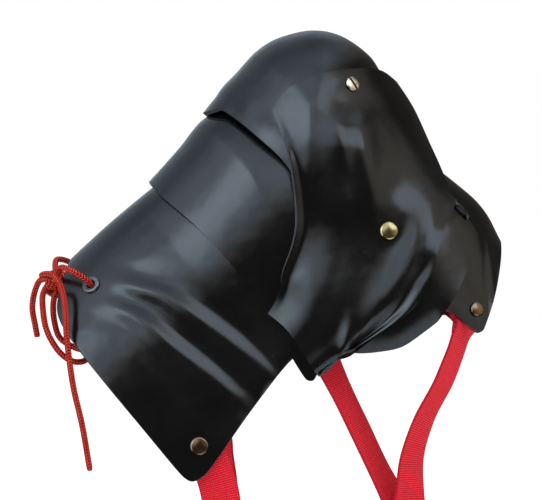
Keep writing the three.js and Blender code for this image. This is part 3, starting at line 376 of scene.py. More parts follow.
def wing_face(u, w):
    """The wing's outer face. u runs from its left edge to the front edge, and w from top to lobe."""
    t = np.sin(u * math.pi / 2)
    place = wing_patch(t, w)
    width = rounded_width(cop_depth(place) + WING["standoff"], COP["shoulder"] + WING["standoff"])
    flare = WING["flare"] * falling(t, 0, 0.06) * smoothstep(w, 0, 0.3) * falling(w, 0.75, 1)
    lobe = WING["lobe"] * smoothstep(w, 0.5, 0.82) * smoothstep(t, -0.1, 0.32) * falling(t, 0.4, 0.95)
    lip = WING["lip"] * smoothstep(t, 0.86, 1) * smoothstep(w, 0.45, 0.6)
    swell = wing_relief(place) * width + flare + lobe + lip
    return np.stack([place[:, 0], -(WING["half"] * width + swell), place[:, 1]], 1)


def normal_at(face, u, w):
    step = 0.004
    u, w = np.atleast_1d(u).astype(float), np.atleast_1d(w).astype(float)
    along = face(clamp(u + step), w) - face(clamp(u - step), w)
    across = face(u, clamp(w + step)) - face(u, clamp(w - step))
    return unit(np.cross(along, across))


def stand_on(face, target, near, far, outward):
    """Where a face stands over a place of the side view, found by halving steps, and its direction there."""
    best, reach = np.array([0.5, (near + far) / 2]), np.array([0.5, (far - near) / 2])
    line, halvings = np.linspace(-1, 1, 9), 14
    grid = np.stack(np.meshgrid(line, line), -1).reshape(-1, 2)
    for _ in range(halvings):
        tries = best + grid * reach
        tries = np.stack([clamp(tries[:, 0]), clamp(tries[:, 1], near, far)], 1)
        places = face(tries[:, 0], tries[:, 1])
        best = tries[np.linalg.norm(places[:, [0, 2]] - target, axis=1).argmin()]
        reach = reach / 2
    u, w = best[:1], best[1:]
    return Vector(face(u, w)[0]), Vector(normal_at(face, u, w)[0] * outward)


def on_side(place, half_width, side):
    return Vector((place[0], side * half_width, place[1])), Vector((0, side, 0))


HALVES = {"near": (0.0, 0.5), "far": (0.5, 1.0)}
THIGH_STRAP_PLACE = placed(THIGH, [(0.83, -0.057)])[0]
SHIN_STRAP_PLACE = placed(SHIN, [(0.81, -0.822)])[0]
SIDES = {"near": NEAR, "far": FAR}
SEATS = {}
for side_name, side_sign in SIDES.items():
    half = HALVES[side_name]
    SEATS["thigh_strap", side_name] = stand_on(thigh_face, THIGH_STRAP_PLACE, *half, -1)
    SEATS["shin_strap", side_name] = stand_on(shin_face, SHIN_STRAP_PLACE, *half, 1)
    SEATS["eyelet", side_name] = stand_on(thigh_face, in_part(EYELET)[0], *half, -1)
    SEATS["thigh_pivot", side_name] = on_side(THIGH_PIVOT, COP["half"], side_sign)
SEATS["shin_pivot", "near"] = stand_on(wing_face, SHIN_PIVOT, 0, 1, -1)
SEATS["shin_pivot", "far"] = stand_on(cop_face, SHIN_PIVOT, *HALVES["far"], 1)
SEATS["screw", "near"] = stand_on(wing_face, SCREW, 0, 1, -1)


# Meshes

def new_piece(name, bm, finishes=(), smooth_angle=None):
    mesh = bpy.data.meshes.new(name)
    for face in bm.faces:
        face.smooth = True
    bm.to_mesh(mesh)
    bm.free()
    piece = bpy.data.objects.new(name, mesh)
    bpy.context.scene.collection.objects.link(piece)
    for finish in finishes:
        mesh.materials.append(material_of(finish))
    if smooth_angle:
        mesh.set_sharp_from_angle(angle=math.radians(smooth_angle))
    return piece


def formed_grid(rows, columns, form, uv):
    """A grid whose vertices are moved by a form of u and w, with a map of the same two."""
    bm = bmesh.new()
    layer = bm.loops.layers.uv.new("UVMap")
    bmesh.ops.create_grid(bm, x_segments=rows, y_segments=columns, size=0.5)
    bm.verts.ensure_lookup_table()
    shares = np.array([(v.co.x + 0.5, v.co.y + 0.5) for v in bm.verts])
    shares = clamp(np.round(shares, 6))
    places = form(shares[:, 0], shares[:, 1]) * MM
    mapped = uv(shares[:, 0], shares[:, 1])
    for vert, place in zip(bm.verts, places):
        vert.co = place
    for face in bm.faces:
        for loop in face.loops:
            loop[layer].uv = mapped[loop.vert.index]
    return bm


def face_outwards(bm, middle=None):
    """Turns an open sheet's faces away from its middle."""
    bm.normal_update()
    middle = middle or sum((f.calc_center_median() for f in bm.faces), Vector()) / len(bm.faces)
    away = sum(f.normal.dot(f.calc_center_median() - middle) * f.calc_area() for f in bm.faces)
    if away < 0:
        bmesh.ops.reverse_faces(bm, faces=bm.faces[:])
        bm.normal_update()


def modifier(piece, kind, **settings):
    added = piece.modifiers.new(kind.title(), kind)
    for name, value in settings.items():
        setattr(added, name, value)
    return added


def bevel(piece, width, segments, angle):
    modifier(piece, "BEVEL", width=width * MM, segments=segments, limit_method="ANGLE",
             angle_limit=math.radians(angle))


def settle(piece):
    """Keeps what a piece's modifiers make as its own mesh."""
    graph = bpy.context.evaluated_depsgraph_get()
    mesh = bpy.data.meshes.new_from_object(piece.evaluated_get(graph), preserve_all_data_layers=True,
                                           depsgraph=graph)
    piece.modifiers.clear()
    piece.data = mesh
    return piece


def cut(piece, bm, finishes):
    """Takes a form out of a piece."""
    cutter = new_piece("cutter", bm, finishes)
    modifier(piece, "BOOLEAN", operation="DIFFERENCE", solver="EXACT", object=cutter)
    settle(piece)
    bpy.data.objects.remove(cutter)


def leather_plate(name, face, rows, columns, middle=None, holes=()):
    """A moulded sheet with its thickness, softened edges and punched holes."""
    bm = formed_grid(rows, columns, face, lambda u, w: np.stack([u, w], 1))
    face_outwards(bm, middle)
    piece = new_piece(name, bm, ["leather", "leather_edge"])
    modifier(piece, "SOLIDIFY", thickness=LEATHER * MM, offset=-1, material_offset_rim=1)
    bevel(piece, 1.3, 4, 50)
    modifier(piece, "SUBSURF", levels=1, render_levels=1)
    settle(piece)
    for place, facing, radius in holes:
        bm = bmesh.new()
        bmesh.ops.create_cone(bm, cap_ends=True, segments=32, radius1=radius * MM, radius2=radius * MM,
                              depth=8 * LEATHER * MM)
        bm.transform(seated(place, facing, Vector((0, 0, 1))))
        cut(piece, bm, ["leather_edge"])
    return piece


def seated(place, facing, axis=Vector((0, 1, 0))):
    """The matrix that takes a piece made about the origin, in metres, to its seat."""
    return Matrix.Translation(Vector(place) * MM) @ axis.rotation_difference(facing).to_matrix().to_4x4()


def lathed(profile):
    """A solid turned about the Y axis from a profile of radius and height in millimetres."""
    bm = bmesh.new()
    verts = [bm.verts.new((radius * MM, height * MM, 0)) for radius, height in profile]
    line = [bm.edges.new(pair) for pair in zip(verts, verts[1:])]
    bmesh.ops.spin(bm, geom=verts + line, cent=(0, 0, 0), axis=(0, 1, 0), angle=2 * math.pi,
                   steps=TURN_STEPS, use_merge=True)
    bmesh.ops.remove_doubles(bm, verts=bm.verts[:], dist=1e-6)
    bmesh.ops.recalc_face_normals(bm, faces=bm.faces[:])
    return bm


def turned_piece(name, profile, seat, finish, smooth_angle):
    """A fitting turned from its profile and set on its seat."""
    place, facing = seat
    bm = lathed(profile)
    bm.transform(seated(place + facing * SEAT, facing))
    return new_piece(name, bm, [finish], smooth_angle)


def arc(centre, radius, start, end, steps):
    """Places of a profile on an arc, between two angles in degrees."""
    turns = [math.radians(start + (end - start) * i / steps) for i in range(steps + 1)]
    return [(centre[0] + radius[0] * math.cos(t), centre[1] + radius[1] * math.sin(t)) for t in turns]


# Space curves

def smooth_through(places, steps, even=True):
    """A centripetal spline through places: its points, spaced evenly or by its own parameter."""
    places = np.array(places, float)
    ends = [2 * places[0] - places[1], 2 * places[-1] - places[-2]]
    padded = np.vstack([ends[0], places, ends[1]])
    spot = np.linspace(0, len(places) - 1, steps + 1)
    start = np.minimum(np.floor(spot).astype(int), len(places) - 2)
    part = (spot - start)[:, None]
    p = [padded[start + i] for i in range(4)]
    gaps = [np.maximum(np.linalg.norm(p[i + 1] - p[i], axis=1)[:, None] ** 0.5, 1e-4) for i in range(3)]

    def tangent(a, b, c, d0, d1):
        return (b - a) / d0 - (c - a) / (d0 + d1) + (c - b) / d1
    leaving = tangent(p[0], p[1], p[2], gaps[0], gaps[1]) * gaps[1]
    arriving = tangent(p[1], p[2], p[3], gaps[1], gaps[2]) * gaps[1]
    walked = cubic(p[1], p[2], leaving, arriving, part)
    if not even:
        return walked
    length = lengths(walked)
    wanted = np.linspace(0, length[-1], steps + 1)
    return np.stack([np.interp(wanted, length, walked[:, k]) for k in range(3)], 1)


def frames_along(path):
    """Directions square to a path that turn as little as they can."""
    tangents = unit(np.gradient(path, axis=0))
    side = np.cross(tangents[0], [0.3, 0.2, 0.9])
    sides = []
    for tangent in tangents:
        side = side - tangent * side.dot(tangent)
        side = side / np.linalg.norm(side)
        sides.append(side)
    sides = np.array(sides)
    return sides, np.cross(tangents, sides)


def swept(path, columns, section, breadth):
    """A grid along a path from the places of each row, mapped in breadths along it."""
    rows, along = len(path) - 1, lengths(path) / breadth

    def row_of(u):
        return np.round(u * rows).astype(int)
    return formed_grid(rows, columns, lambda u, w: section(row_of(u), w),
                       lambda u, w: np.stack([w, along[row_of(u)]], 1))


def cord_mesh(path, caps=True):
    """The lacing cord along a path, with a map of the way round it and the way along it in diameters."""
    sides, ups = frames_along(path)
    last = len(path) - 1

    def section(i, w):
        turn = (w * 2 * math.pi)[:, None]
        ease = np.minimum(1, 0.72 + 0.28 * np.minimum(i, last - i) / 2)[:, None] if caps else 1
        return path[i] + LACE / 2 * ease * (np.cos(turn) * sides[i] + np.sin(turn) * ups[i])
    bm = swept(path, CORD_SIDES, section, LACE)
    bmesh.ops.remove_doubles(bm, verts=bm.verts[:], dist=1e-6)
    bmesh.ops.holes_fill(bm, edges=[e for e in bm.edges if e.is_boundary], sides=0)
    bmesh.ops.recalc_face_normals(bm, faces=bm.faces[:])
    return bm


# Materials

class Wire:
    """A socket whose arithmetic adds the nodes for it."""

    def __init__(self, tree, socket):
        self.tree, self.socket = tree, socket

    def call(self, operation, *others):
        return self.tree.node("ShaderNodeMath", {"operation": operation}, dict(enumerate((self, *others))))

    def __add__(self, other):
        return self.call("ADD", other)

    def __sub__(self, other):
        return self.call("SUBTRACT", other)

    def __rsub__(self, other):
        return self.tree.node("ShaderNodeMath", {"operation": "SUBTRACT"}, {0: other, 1: self})

    def __mul__(self, other):
        return self.call("MULTIPLY", other)

    def __pow__(self, other):
        return self.call("POWER", other)

    __radd__, __rmul__ = __add__, __mul__

    def ramp(self, low, high):
        """0 below low and 1 above high, smooth between."""
        return self.tree.node("ShaderNodeMapRange", {"interpolation_type": "SMOOTHSTEP"},
                              {"Value": self, "From Min": low, "From Max": high})


class Shader:
    """The nodes of a material or a world, built from Python expressions."""

    def __init__(self, name, owner=None):
        self.material = owner or bpy.data.materials.new(name)
        self.material.use_nodes = True
        self.tree = self.material.node_tree
        self.tree.nodes.clear()

    def node(self, kind, settings=None, inputs=None, output=0):
        made = self.tree.nodes.new(kind)
        for name, value in (settings or {}).items():
            setattr(made, name, value)
        for key, value in (inputs or {}).items():
            if isinstance(value, Wire):
                self.tree.links.new(value.socket, made.inputs[key])
            else:
                made.inputs[key].default_value = value
        return Wire(self, made.outputs[output]) if made.outputs else None

    def coordinates(self, kind="Object"):
        return self.node("ShaderNodeTexCoord", output=kind)

    def mapped(self, coordinates, scale, rotation):
        return self.node("ShaderNodeMapping", {}, {
            "Vector": coordinates, "Scale": scale, "Rotation": rotation})

    def noise(self, coordinates, scale, detail, roughness):
        return self.node("ShaderNodeTexNoise", {}, {
            "Vector": coordinates, "Scale": scale, "Detail": detail, "Roughness": roughness})

    def cells(self, coordinates, scale):
        return self.node("ShaderNodeTexVoronoi", {}, {"Vector": coordinates, "Scale": scale},
                         output="Distance")

    def flecks(self, across, along):
        """A chance tone for each cell of a pattern."""
        return self.node("ShaderNodeTexWhiteNoise", {"noise_dimensions": "2D"}, {
            "Vector": self.node("ShaderNodeCombineXYZ", {}, {0: across, 1: along})})

    def parts(self, coordinates):
        split = self.node("ShaderNodeSeparateXYZ", {}, {0: coordinates})
        return [Wire(self, split.socket.node.outputs[i]) for i in range(3)]

    def rays(self, *kinds):
        return [self.node("ShaderNodeLightPath", output=kind) for kind in kinds]

    def mix(self, share, low, high):
        """A colour between two colours."""
        return self.node("ShaderNodeMix", {"data_type": "RGBA"}, {0: share, 6: low, 7: high}, output=2)

    def bump(self, height, strength, distance, normal=None):
        inputs = {"Height": height, "Strength": strength, "Distance": distance}
        if normal:
            inputs["Normal"] = normal
        return self.node("ShaderNodeBump", {}, inputs)

    def finish(self, **inputs):
        surface = self.node("ShaderNodeBsdfPrincipled", {}, {
            name.replace("_", " "): value for name, value in inputs.items()})
        self.node("ShaderNodeOutputMaterial", {}, {"Surface": surface})
        return self.material


def rgba(colour, share=1.0):
    return (*[channel * share for channel in colour[:3]], 1.0)


def make_leather(name, colour, rough, edge):
    """Waxed black leather: fine pores, faint hand-worked ripples and cloudy polish."""
    s = Shader(name)
    where = s.coordinates()
    cloud = s.noise(where, 22, 3, 0.55)
    scuff = s.noise(s.mapped(where, (1, 0.35, 1), (0.3, 0, 0.6)), 240, 5, 0.65)
    pores = s.cells(where, 1500)
    ripple = s.noise(where, 34, 2, 0.5)
    streak = s.noise(s.mapped(where, (60, 14, 240), (0, 0.7, 0)), 1.0, 3, 0.6)
    roughness = rough + cloud.ramp(0.3, 0.7) * 0.07 + scuff.ramp(0.5, 0.75) * 0.07 + (streak - 0.5) * 0.06
    # With edge set, the cut edge gets a fibre tone much lighter than the face: partly the edge's own colour,
    # partly a painted highlight along the rims.
    if edge:
        fibre = s.noise(where, 900, 3, 0.7)
        tone = s.mix(fibre.ramp(0.3, 0.75), rgba((0.035, 0.037, 0.042)), rgba((0.085, 0.088, 0.095)))
    else:
        tone = s.mix(cloud.ramp(0.35, 0.7), rgba(colour, 0.75), rgba(colour, 1.5))
        tone = s.mix(scuff.ramp(0.66, 0.82) * 0.4, tone, rgba((0.022, 0.02, 0.018)))
    normal = s.bump(ripple, 0.35, 0.0022)
    normal = s.bump(streak, 0.1, 0.0003, normal)
    normal = s.bump(pores.ramp(0.02, 0.35), 0.12, 0.00009, normal)
    return s.finish(Base_Color=tone, Roughness=roughness, Normal=normal, Specular_IOR_Level=0.5)


def make_webbing(name, colour):
    """Woven webbing: ribs across it, yarns side by side in each rib, flecks and a tight selvedge, with
    painted shade in the hollows and a painted highlight on the crests.
    """
    s = Shader(name)
    across, along, _ = s.parts(s.coordinates("UV"))
    rows = along * 18
    row = rows.call("FLOOR")
    yarns = across * 17 + row.call("MODULO", 2) * 0.5
    rib = (rows.call("FRACT") * math.pi).call("SINE")
    yarn = (yarns.call("FRACT") * math.pi).call("SINE")
    height = rib ** 0.55 * 0.72 + yarn ** 0.6 * 0.4
    selvedge = ((across - 0.5).call("ABSOLUTE") * 2).ramp(0.93, 0.965)
    grain = s.noise(s.coordinates("Object"), 2600, 2, 0.6)
    cloud = s.noise(s.coordinates("Object"), 60, 2, 0.5)
    fleck = s.flecks(yarns.call("FLOOR"), row)
    # Painted shade: the webbing darkens towards the hollows between ribs and yarns, and a painted highlight
    # lightens their crests, varied by random flecks.
    painted_hollow_shade = s.mix(height.ramp(0.25, 1.0), rgba(colour, 0.26), rgba(colour, 1.0))
    painted_crest_highlight = s.mix(height.ramp(0.75, 1.1) * (0.2 + fleck * 0.3), painted_hollow_shade, rgba((1, 0.09, 0.14)))
    tone = s.mix(cloud.ramp(0.35, 0.75) * 0.14, painted_crest_highlight, rgba(colour, 0.75))
    tone = s.mix(selvedge * 0.6, tone, rgba((colour[0] * 0.42, colour[1] * 0.3, colour[2] * 0.8)))
    normal = s.bump(height * (1 - selvedge * 0.5) + grain * 0.18, 0.8, 0.0006)
    return s.finish(Base_Color=tone, Roughness=0.62 + grain * 0.2, Normal=normal, Sheen_Weight=0.02,
                    Specular_IOR_Level=0.18)


def make_cord(name, colour):
    """Braided cord: strands that lean both ways and meet in rows of V stitches, with painted shade in the
    gaps and seams and a painted highlight on the strand crests.
    """
    s = Shader(name)
    round_it, along, _ = s.parts(s.coordinates("UV"))
    column = (round_it * 6).call("PINGPONG", 1.0)
    stitch = along * 2.1 + column * 0.8
    strand = (stitch.call("FRACT") * math.pi).call("SINE")
    seam = ((column - 0.5).call("ABSOLUTE") * 2).ramp(0.7, 1.0)
    height = strand ** 0.7 * (1 - seam * 0.55)
    fleck = s.flecks(stitch.call("FLOOR"), (round_it * 6).call("FLOOR"))
    fibre = s.noise(s.coordinates("Object"), 3200, 2, 0.6)
    # Painted shade: the cord goes nearly black in the gaps between strands and along the seams, and a painted
    # highlight lightens the strand crests, varied by random flecks.
    tone = s.mix(height.ramp(0.35, 0.85), rgba(colour, 0.05), rgba(colour, 1.0))
    tone = s.mix(height.ramp(0.6, 1.0) * (0.25 + fleck * 0.5), tone, rgba((0.95, 0.12, 0.06)))
    normal = s.bump(height + fibre * 0.15, 1.0, 0.0008)
    return s.finish(Base_Color=tone, Roughness=0.6 + fibre * 0.2, Normal=normal, Specular_IOR_Level=0.22)


def make_metal(name, colour, rough, tarnish):
    """Plated metal with fine rubbing marks and a little tarnish."""
    s = Shader(name)
    where = s.coordinates()
    rub = s.noise(s.mapped(where, (1, 6, 1), (0.4, 0.2, 0.9)), 900, 4, 0.7)
    cloud = s.noise(where, 260, 3, 0.6)
    tone = s.mix(cloud.ramp(0.42, 0.72), rgba(colour), rgba(tarnish))
    return s.finish(Base_Color=tone, Metallic=1.0, Roughness=rough + rub * 0.12 + cloud.ramp(0.4, 0.8) * 0.12,
                    Normal=s.bump(rub, 0.12, 0.00005))


def make_plastic(name, colour):
    """Moulded black plastic with a fine spark grain."""
    s = Shader(name)
    where = s.coordinates()
    grain = s.noise(where, 2400, 2, 0.7)
    cloud = s.noise(where, 80, 2, 0.5)
    tone = s.mix(cloud, rgba(colour, 0.8), rgba(colour, 1.5))
    return s.finish(Base_Color=tone, Roughness=0.38 + grain * 0.18, Normal=s.bump(grain, 0.25, 0.00008))


def material_of(name):
    colours = bpy.context.scene.poleyn_colours
    makers = {
        "leather": (make_leather, "black_leather", colours.leather, 0.15, False),
        # The edge finish is lighter than the face, partly as a painted highlight along the plates' rims.
        "leather_edge": (make_leather, "black_leather_edge", colours.leather, 0.36, True),
        "webbing": (make_webbing, "red_webbing", colours.webbing),
        "cord": (make_cord, "red_cord", colours.cord),
        "nickel": (make_metal, "nickel", colours.metal, 0.1, (0.18, 0.12, 0.08)),
        "screw": (make_metal, "bright_nickel", (0.72, 0.64, 0.52), 0.12, (0.46, 0.37, 0.27)),
        # Painted shade: a near-black metal for the inside of the screw slot.
        "painted_slot_shade": (make_metal, "slot_shade", (0.05, 0.035, 0.025), 0.5, (0.02, 0.015, 0.01)),
        "brass": (make_metal, "warm_nickel", (0.44, 0.38, 0.18), 0.1, (0.26, 0.2, 0.09)),
        "steel": (make_metal, "dull_steel", (0.15, 0.155, 0.17), 0.3, (0.08, 0.08, 0.085)),
        "plastic": (make_plastic, "black_plastic", (0.018, 0.018, 0.02)),
    }
    key = "poleyn_" + name
    if bpy.context.scene.get(key) is None:
        maker, *settings = makers[name]
        bpy.context.scene[key] = maker(*settings)
    return bpy.context.scene[key]


def dressed(piece, body, slot, *nodes):
    """Ties a piece to its body and hides the nodes that it stands for; its finish (slot) is not used."""
    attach(piece, body)
    if nodes:
        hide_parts(*nodes)
    return piece


# What a user may set

class PoleynSizes(bpy.types.PropertyGroup):
    lens: bpy.props.FloatProperty(
        name="Lens", description="Focal length of the camera in millimetres", default=126.8, min=20, max=300)
    distance: bpy.props.FloatProperty(
        name="Camera distance", description="From the knee to the camera", default=1.3, unit="LENGTH",
        subtype="DISTANCE")
    plate_rows: bpy.props.IntProperty(
        name="Plate rows", description="Rows of a leather plate's grid", default=56, min=12, max=120)


class PoleynColours(bpy.types.PropertyGroup):
    leather: bpy.props.FloatVectorProperty(
        name="Leather", description="Colour of the leather plates", default=(0.003, 0.0031, 0.0034),
        subtype="COLOR", min=0, max=1)
    webbing: bpy.props.FloatVectorProperty(
        name="Webbing", description="Colour of the straps", default=(0.88, 0.008, 0.022), subtype="COLOR",
        min=0, max=1)
    cord: bpy.props.FloatVectorProperty(
        name="Cord", description="Colour of the lacing cord", default=(0.7, 0.010, 0.009), subtype="COLOR",
        min=0, max=1)
    metal: bpy.props.FloatVectorProperty(
        name="Metal", description="Colour of the rivets and the screw", default=(0.22, 0.145, 0.09),
        subtype="COLOR", min=0, max=1)


# Camera and lacing

class PoleynCamera(bpy.types.Operator):
    """Sets up the camera at the photographed angle"""
    bl_idname = "poleyn.camera"
    bl_label = "Camera"

    def execute(self, context):
        sizes = context.scene.poleyn_sizes
        data = bpy.data.cameras.new("camera")
        data.lens = sizes.lens
        data.sensor_width = 36
        data.clip_start = 0.05
        camera = bpy.data.objects.new("camera", data)
        camera.location = (CAMERA_AIM[0], -sizes.distance, CAMERA_AIM[1])
        camera.rotation_euler = (math.pi / 2, 0, 0)
        context.scene.collection.objects.link(camera)
        context.scene.camera = camera
        return {"FINISHED"}


def by_thigh(*rows):
    """Places from the way along the thigh, the rise from its middle and the way sideways."""
    return [[place[0], row[2], place[1]] for row in rows for place in in_part(row[:2])]


KNOT_PLACE = Vector(by_thigh((KNOT["along"], KNOT["rise"], -KNOT["aside"]))[0])


def out_of_knot(direction):
    """Two places where a cord comes out of the knot in a direction."""
    heading = Vector(direction).normalized()
    reaches = (KNOT["radius"] + SEAT, 2 * KNOT["radius"] - LACE / 2)
    return [list(KNOT_PLACE + heading * reach) for reach in reaches]


def through_eyelet(side, heights):
    place, facing = SEATS["eyelet", side]
    return [list(place + facing * height) for height in heights]


def cord_routes():
    """Places of the cord's middle in millimetres, as the frame's cord runs."""
    lacing = [
        *out_of_knot((0.2, -0.9, 0.38)), *by_thigh((98, 138.8, -41), (94.5, 134.5, -50), (91.3, 128, -55)),
        *through_eyelet("near", [6, 2, -3, -8]),
        *by_thigh((89, 105.5, -31), (89, 104, -16), (89, 104, 0), (89, 104, 16), (89, 105.5, 31)),
        *through_eyelet("far", [-8, -3, 2, 6]),
        *by_thigh((91.3, 128, 55), (94.5, 134.5, 50), (97, 141, 36), (99, 146, 18), (101, 147.5, 2),
                  (103, 144.5, -10)),
        *out_of_knot((-0.2, 0.8, 0.56))[::-1],
    ]
    bow = [
        *out_of_knot((-0.75, -0.2, -0.63)), [-191.5, -32, -59.5], [-190.6, -42, -68], [-187.4, -50, -82],
        [-182.2, -53, -92], [-176.5, -54, -99], [-169, -53, -103.5], [-162, -47, -103], [-161, -41, -98],
        [-170, -39, -95], [-179.5, -40, -88.5], [-183.5, -38, -77], [-184.5, -34, -66],
        *out_of_knot((0, -0.5, -0.87))[::-1],
    ]
    long_tail = [
        *out_of_knot((-0.75, -0.6, 0.28)), [-192, -35, -47.5], [-189.5, -41, -46.5], [-184, -46, -46.8],
        [-178.5, -52, -52.5], [-174.8, -59, -62], [-173, -65, -72], [-172, -70, -84], [-167.5, -73, -117],
        [-161.5, -73, -143.5], [-156.5, -73, -172.5],
    ]
    short_tail = [
        *out_of_knot((-0.85, 0.5, -0.1)), [-196, -14.5, -51.5], [-200, -11, -60], [-201.4, -10, -70],
        [-199.4, -10, -82], [-198, -10, -89.5],
    ]
    return {"lacing_cord": (lacing, 300, "object"), "bow_loop": (bow, 190, "object"),
            "lace_tail_long": (long_tail, 180, "bare"), "lace_tail_short": (short_tail, 90, "bare")}


def trefoil():
    """The closed path of the knot."""
    turns = np.linspace(0, 2 * math.pi, 161)
    return np.array(KNOT_PLACE) + np.stack([
        1.55 * (np.sin(turns) + 2 * np.sin(2 * turns)), -2.0 * np.sin(3 * turns),
        1.45 * (np.cos(turns) - 2 * np.cos(2 * turns))], 1)


def wraps_below_knot():
    down = Vector((-0.3, -0.35, -0.89)).normalized()
    across = down.cross(Vector((0, 1, 0))).normalized()
    outward = across.cross(down)
    share = np.linspace(0, 1, 90)[:, None]
    turn = share * KNOT["wraps"] * 2 * math.pi
    return (np.array(KNOT_PLACE) + np.array(down) * (KNOT["wraps_from"] + KNOT["wraps_length"] * share)
            + KNOT["wrap_radius"] * (np.cos(turn) * np.array(across) - np.sin(turn) * np.array(outward)))


class PoleynLacing(bpy.types.Operator):
    """Lays the lacing cord, its knot, its bow and its tails"""
    bl_idname = "poleyn.lacing"
    bl_label = "Lacing"

    def execute(self, context):
        for node, (route, steps, end) in cord_routes().items():
            path = smooth_through(route, steps)
            piece = new_piece(node + "_braid", cord_mesh(path), ["cord"])
            dressed(piece, "thigh", "red_cord", node)
            [c * MM for c in path[0]]
            "taut" if node == "lacing_cord" else "hanging"
            [[c * MM for c in place] for place in path]
        knot = new_piece("lacing_knot_braid", cord_mesh(trefoil(), caps=False), ["cord"])
        dressed(knot, "thigh", "red_cord", "lacing_knot")
        collar = new_piece("lacing_knot_wraps", cord_mesh(wraps_below_knot()), ["cord"])
        dressed(collar, "thigh", "red_cord")
        return {"FINISHED"}


# Leather plates

PLATES = {
    "thigh_plate": ("thigh", thigh_face, 1.0, 2.0, None),
    "upper_lame": ("lame", lame_face, 0.7, 2.0, None),
    "knee_cop": ("cop", drawn_in_cop, 1.2, 2.0, None),
    "shin_plate": ("shin", shin_face, 0.7, 2.0, None),
    "wing": ("cop", wing_face, 1.2, 1.5, Vector((0, 0, 0))),
}


class PoleynPlates(bpy.types.Operator):
    """Moulds the five leather plates"""
    bl_idname = "poleyn.plates"
    bl_label = "Leather plates"

    def execute(self, context):
        rows = context.scene.poleyn_sizes.plate_rows
        holes = [(*SEATS["eyelet", side], 3.4) for side in SIDES]
        for node, (body, face, down, across, middle) in PLATES.items():
            piece = leather_plate(node + "_leather", face, round(rows * down), round(rows * across), middle,
                                  holes if node == "thigh_plate" else ())
            dressed(piece, body, "black_leather", node)
        return {"FINISHED"}


# Metal fittings

def cap_profile(radius):
    """A cap with a nearly flat face and a rounded shoulder, from the foot up to its middle."""
    edge, rim, dome = 0.5, 1.9, 0.5
    face = radius - 1.5
    return ([(0, -1.0), (2.1, -1.0), (2.1, 0), (radius - 0.25, 0), (radius, 0.22), (radius, edge)]
            + arc((face, edge), (radius - face, rim - edge), 6, 84, 8)
            + [(face * share, rim + dome * (1 - share * share)) for share in (0.92, 0.75, 0.5, 0.25, 0)])


class PoleynRivets(bpy.types.Operator):
    """Sets the domed rivets on the plates"""
    bl_idname = "poleyn.rivets"
    bl_label = "Rivets"

    def execute(self, context):
        for kind, body in (("thigh_pivot", "cop"), ("shin_pivot", "cop"), ("thigh_strap", "thigh"),
                           ("shin_strap", "shin")):
            profile = cap_profile(SMALL_CAP_RADIUS if kind == "shin_strap" else CAP_RADIUS)
            for side in SIDES:
                metal = "brass" if (kind, side) == ("shin_pivot", "near") else "nickel"
                node = f"{kind}_rivet_{side}_cap"
                piece = turned_piece(node + "_dome", profile, SEATS[kind, side], metal, 35)
                dressed(piece, body, "nickel", node)
        return {"FINISHED"}


class PoleynScrew(bpy.types.Operator):
    """Cuts the slotted screw of the wing"""
    bl_idname = "poleyn.screw"
    bl_label = "Slotted screw"

    def execute(self, context):
        place, facing = SEATS["screw", "near"]
        radius, height, slot_size = 4.9, 1.7, (14, 2.0, 1.5)
        foot = [(0, -2.0), (1.1, -2.0), (1.1, 0), (radius - 0.3, 0), (radius, 0.3), (radius, 0.75)]
        bm = lathed(foot + arc((0, 0.7), (radius, height - 0.7), 12, 90, 10)[:-1] + [(0, height)])
        metals = ["screw", "painted_slot_shade"]
        piece = new_piece("wing_screw_head", bm, metals, 30)
        seat = seated(place + facing * SEAT, facing)
        heading = seat.to_3x3().inverted() @ Vector((0.53, 0, -0.85))
        slot = bmesh.new()
        bmesh.ops.create_cube(slot, size=1, matrix=Matrix.Rotation(math.atan2(-heading.z, heading.x), 4, "Y")
                              @ Matrix.Diagonal([size * MM for size in slot_size] + [1]))
        bmesh.ops.translate(slot, verts=slot.verts[:], vec=(0, height * MM, 0))
        # The slot's faces take the second finish, the slot's painted shade.
        for face in slot.faces:
            face.material_index = 1
        cut(piece, slot, metals)
        bevel(piece, 0.12, 2, 40)
        settle(piece)
        piece.data.transform(seat)
        dressed(piece, "cop", "nickel", "wing_screw")
        return {"FINISHED"}


class PoleynEyelets(bpy.types.Operator):
    """Rolls the two eyelets of the lacing"""
    bl_idname = "poleyn.eyelets"
    bl_label = "Eyelets"

    def execute(self, context):
        bore, wall, flange, roll = 2.6, 0.6, 6.4, 1.2
        below = -LEATHER - 4 * SEAT - 0.5
        profile = ([(bore, below - wall), (bore, -0.6)]
                   + arc((bore + 1.1, -0.2), (1.1, roll + 0.2), 180, 95, 7)
                   + arc((flange - 1.5, -0.1), (1.5, roll + 0.1), 85, 8, 8)
                   + [(flange, 0), (bore + wall, 0), (bore + wall, below), (4.4, below), (4.4, below - wall),
                      (bore, below - wall)])
        for side in SIDES:
            piece = turned_piece(f"eyelet_{side}_roll", profile, SEATS["eyelet", side], "steel", 40)
            dressed(piece, "thigh", "steel", f"eyelet_{side}")
        return {"FINISHED"}


# Webbing

X = Vector((1, 0, 0))
WRAP = BAR / 2 + 2 * SEAT + STRAP["thick"] / 2 + STRAP["layer"]
LAP = WRAP - STRAP["thick"] - STRAP["layer"]
STRAP_DEPTH = SEAT + STRAP["thick"]
THIGH_HANG = [(0.66, 0.895, 0.17), (0.88, 0.895, 0.3), (0.97, 0.875, 0.486), (1, 0.81, 0.676),
              (1, 0.7, 0.842), (1, 0.553, 0.94)]
FAR_TURNS = (0.5, 0.6, 0.6, 0.45, 0.25, 0.1)
KNEE_BRANCH = {
    "near": [(0.13, 0.78, 0.1, 0.4), (0.295, 0.8, 0.259, 0.58), (0.51, 0.832, 0.476, 0.61),
             (0.735, 0.825, 0.708, 0.61), (0.912, 0.815, 0.874, 0.45)],
    "far": [(0.13, 0.78, 0.1, 0.5), (0.295, 0.8, 0.259, 0.75), (0.51, 0.832, 0.476, 0.9),
            (0.735, 0.825, 0.708, 0.9), (0.912, 0.815, 0.874, 0.55)],
}
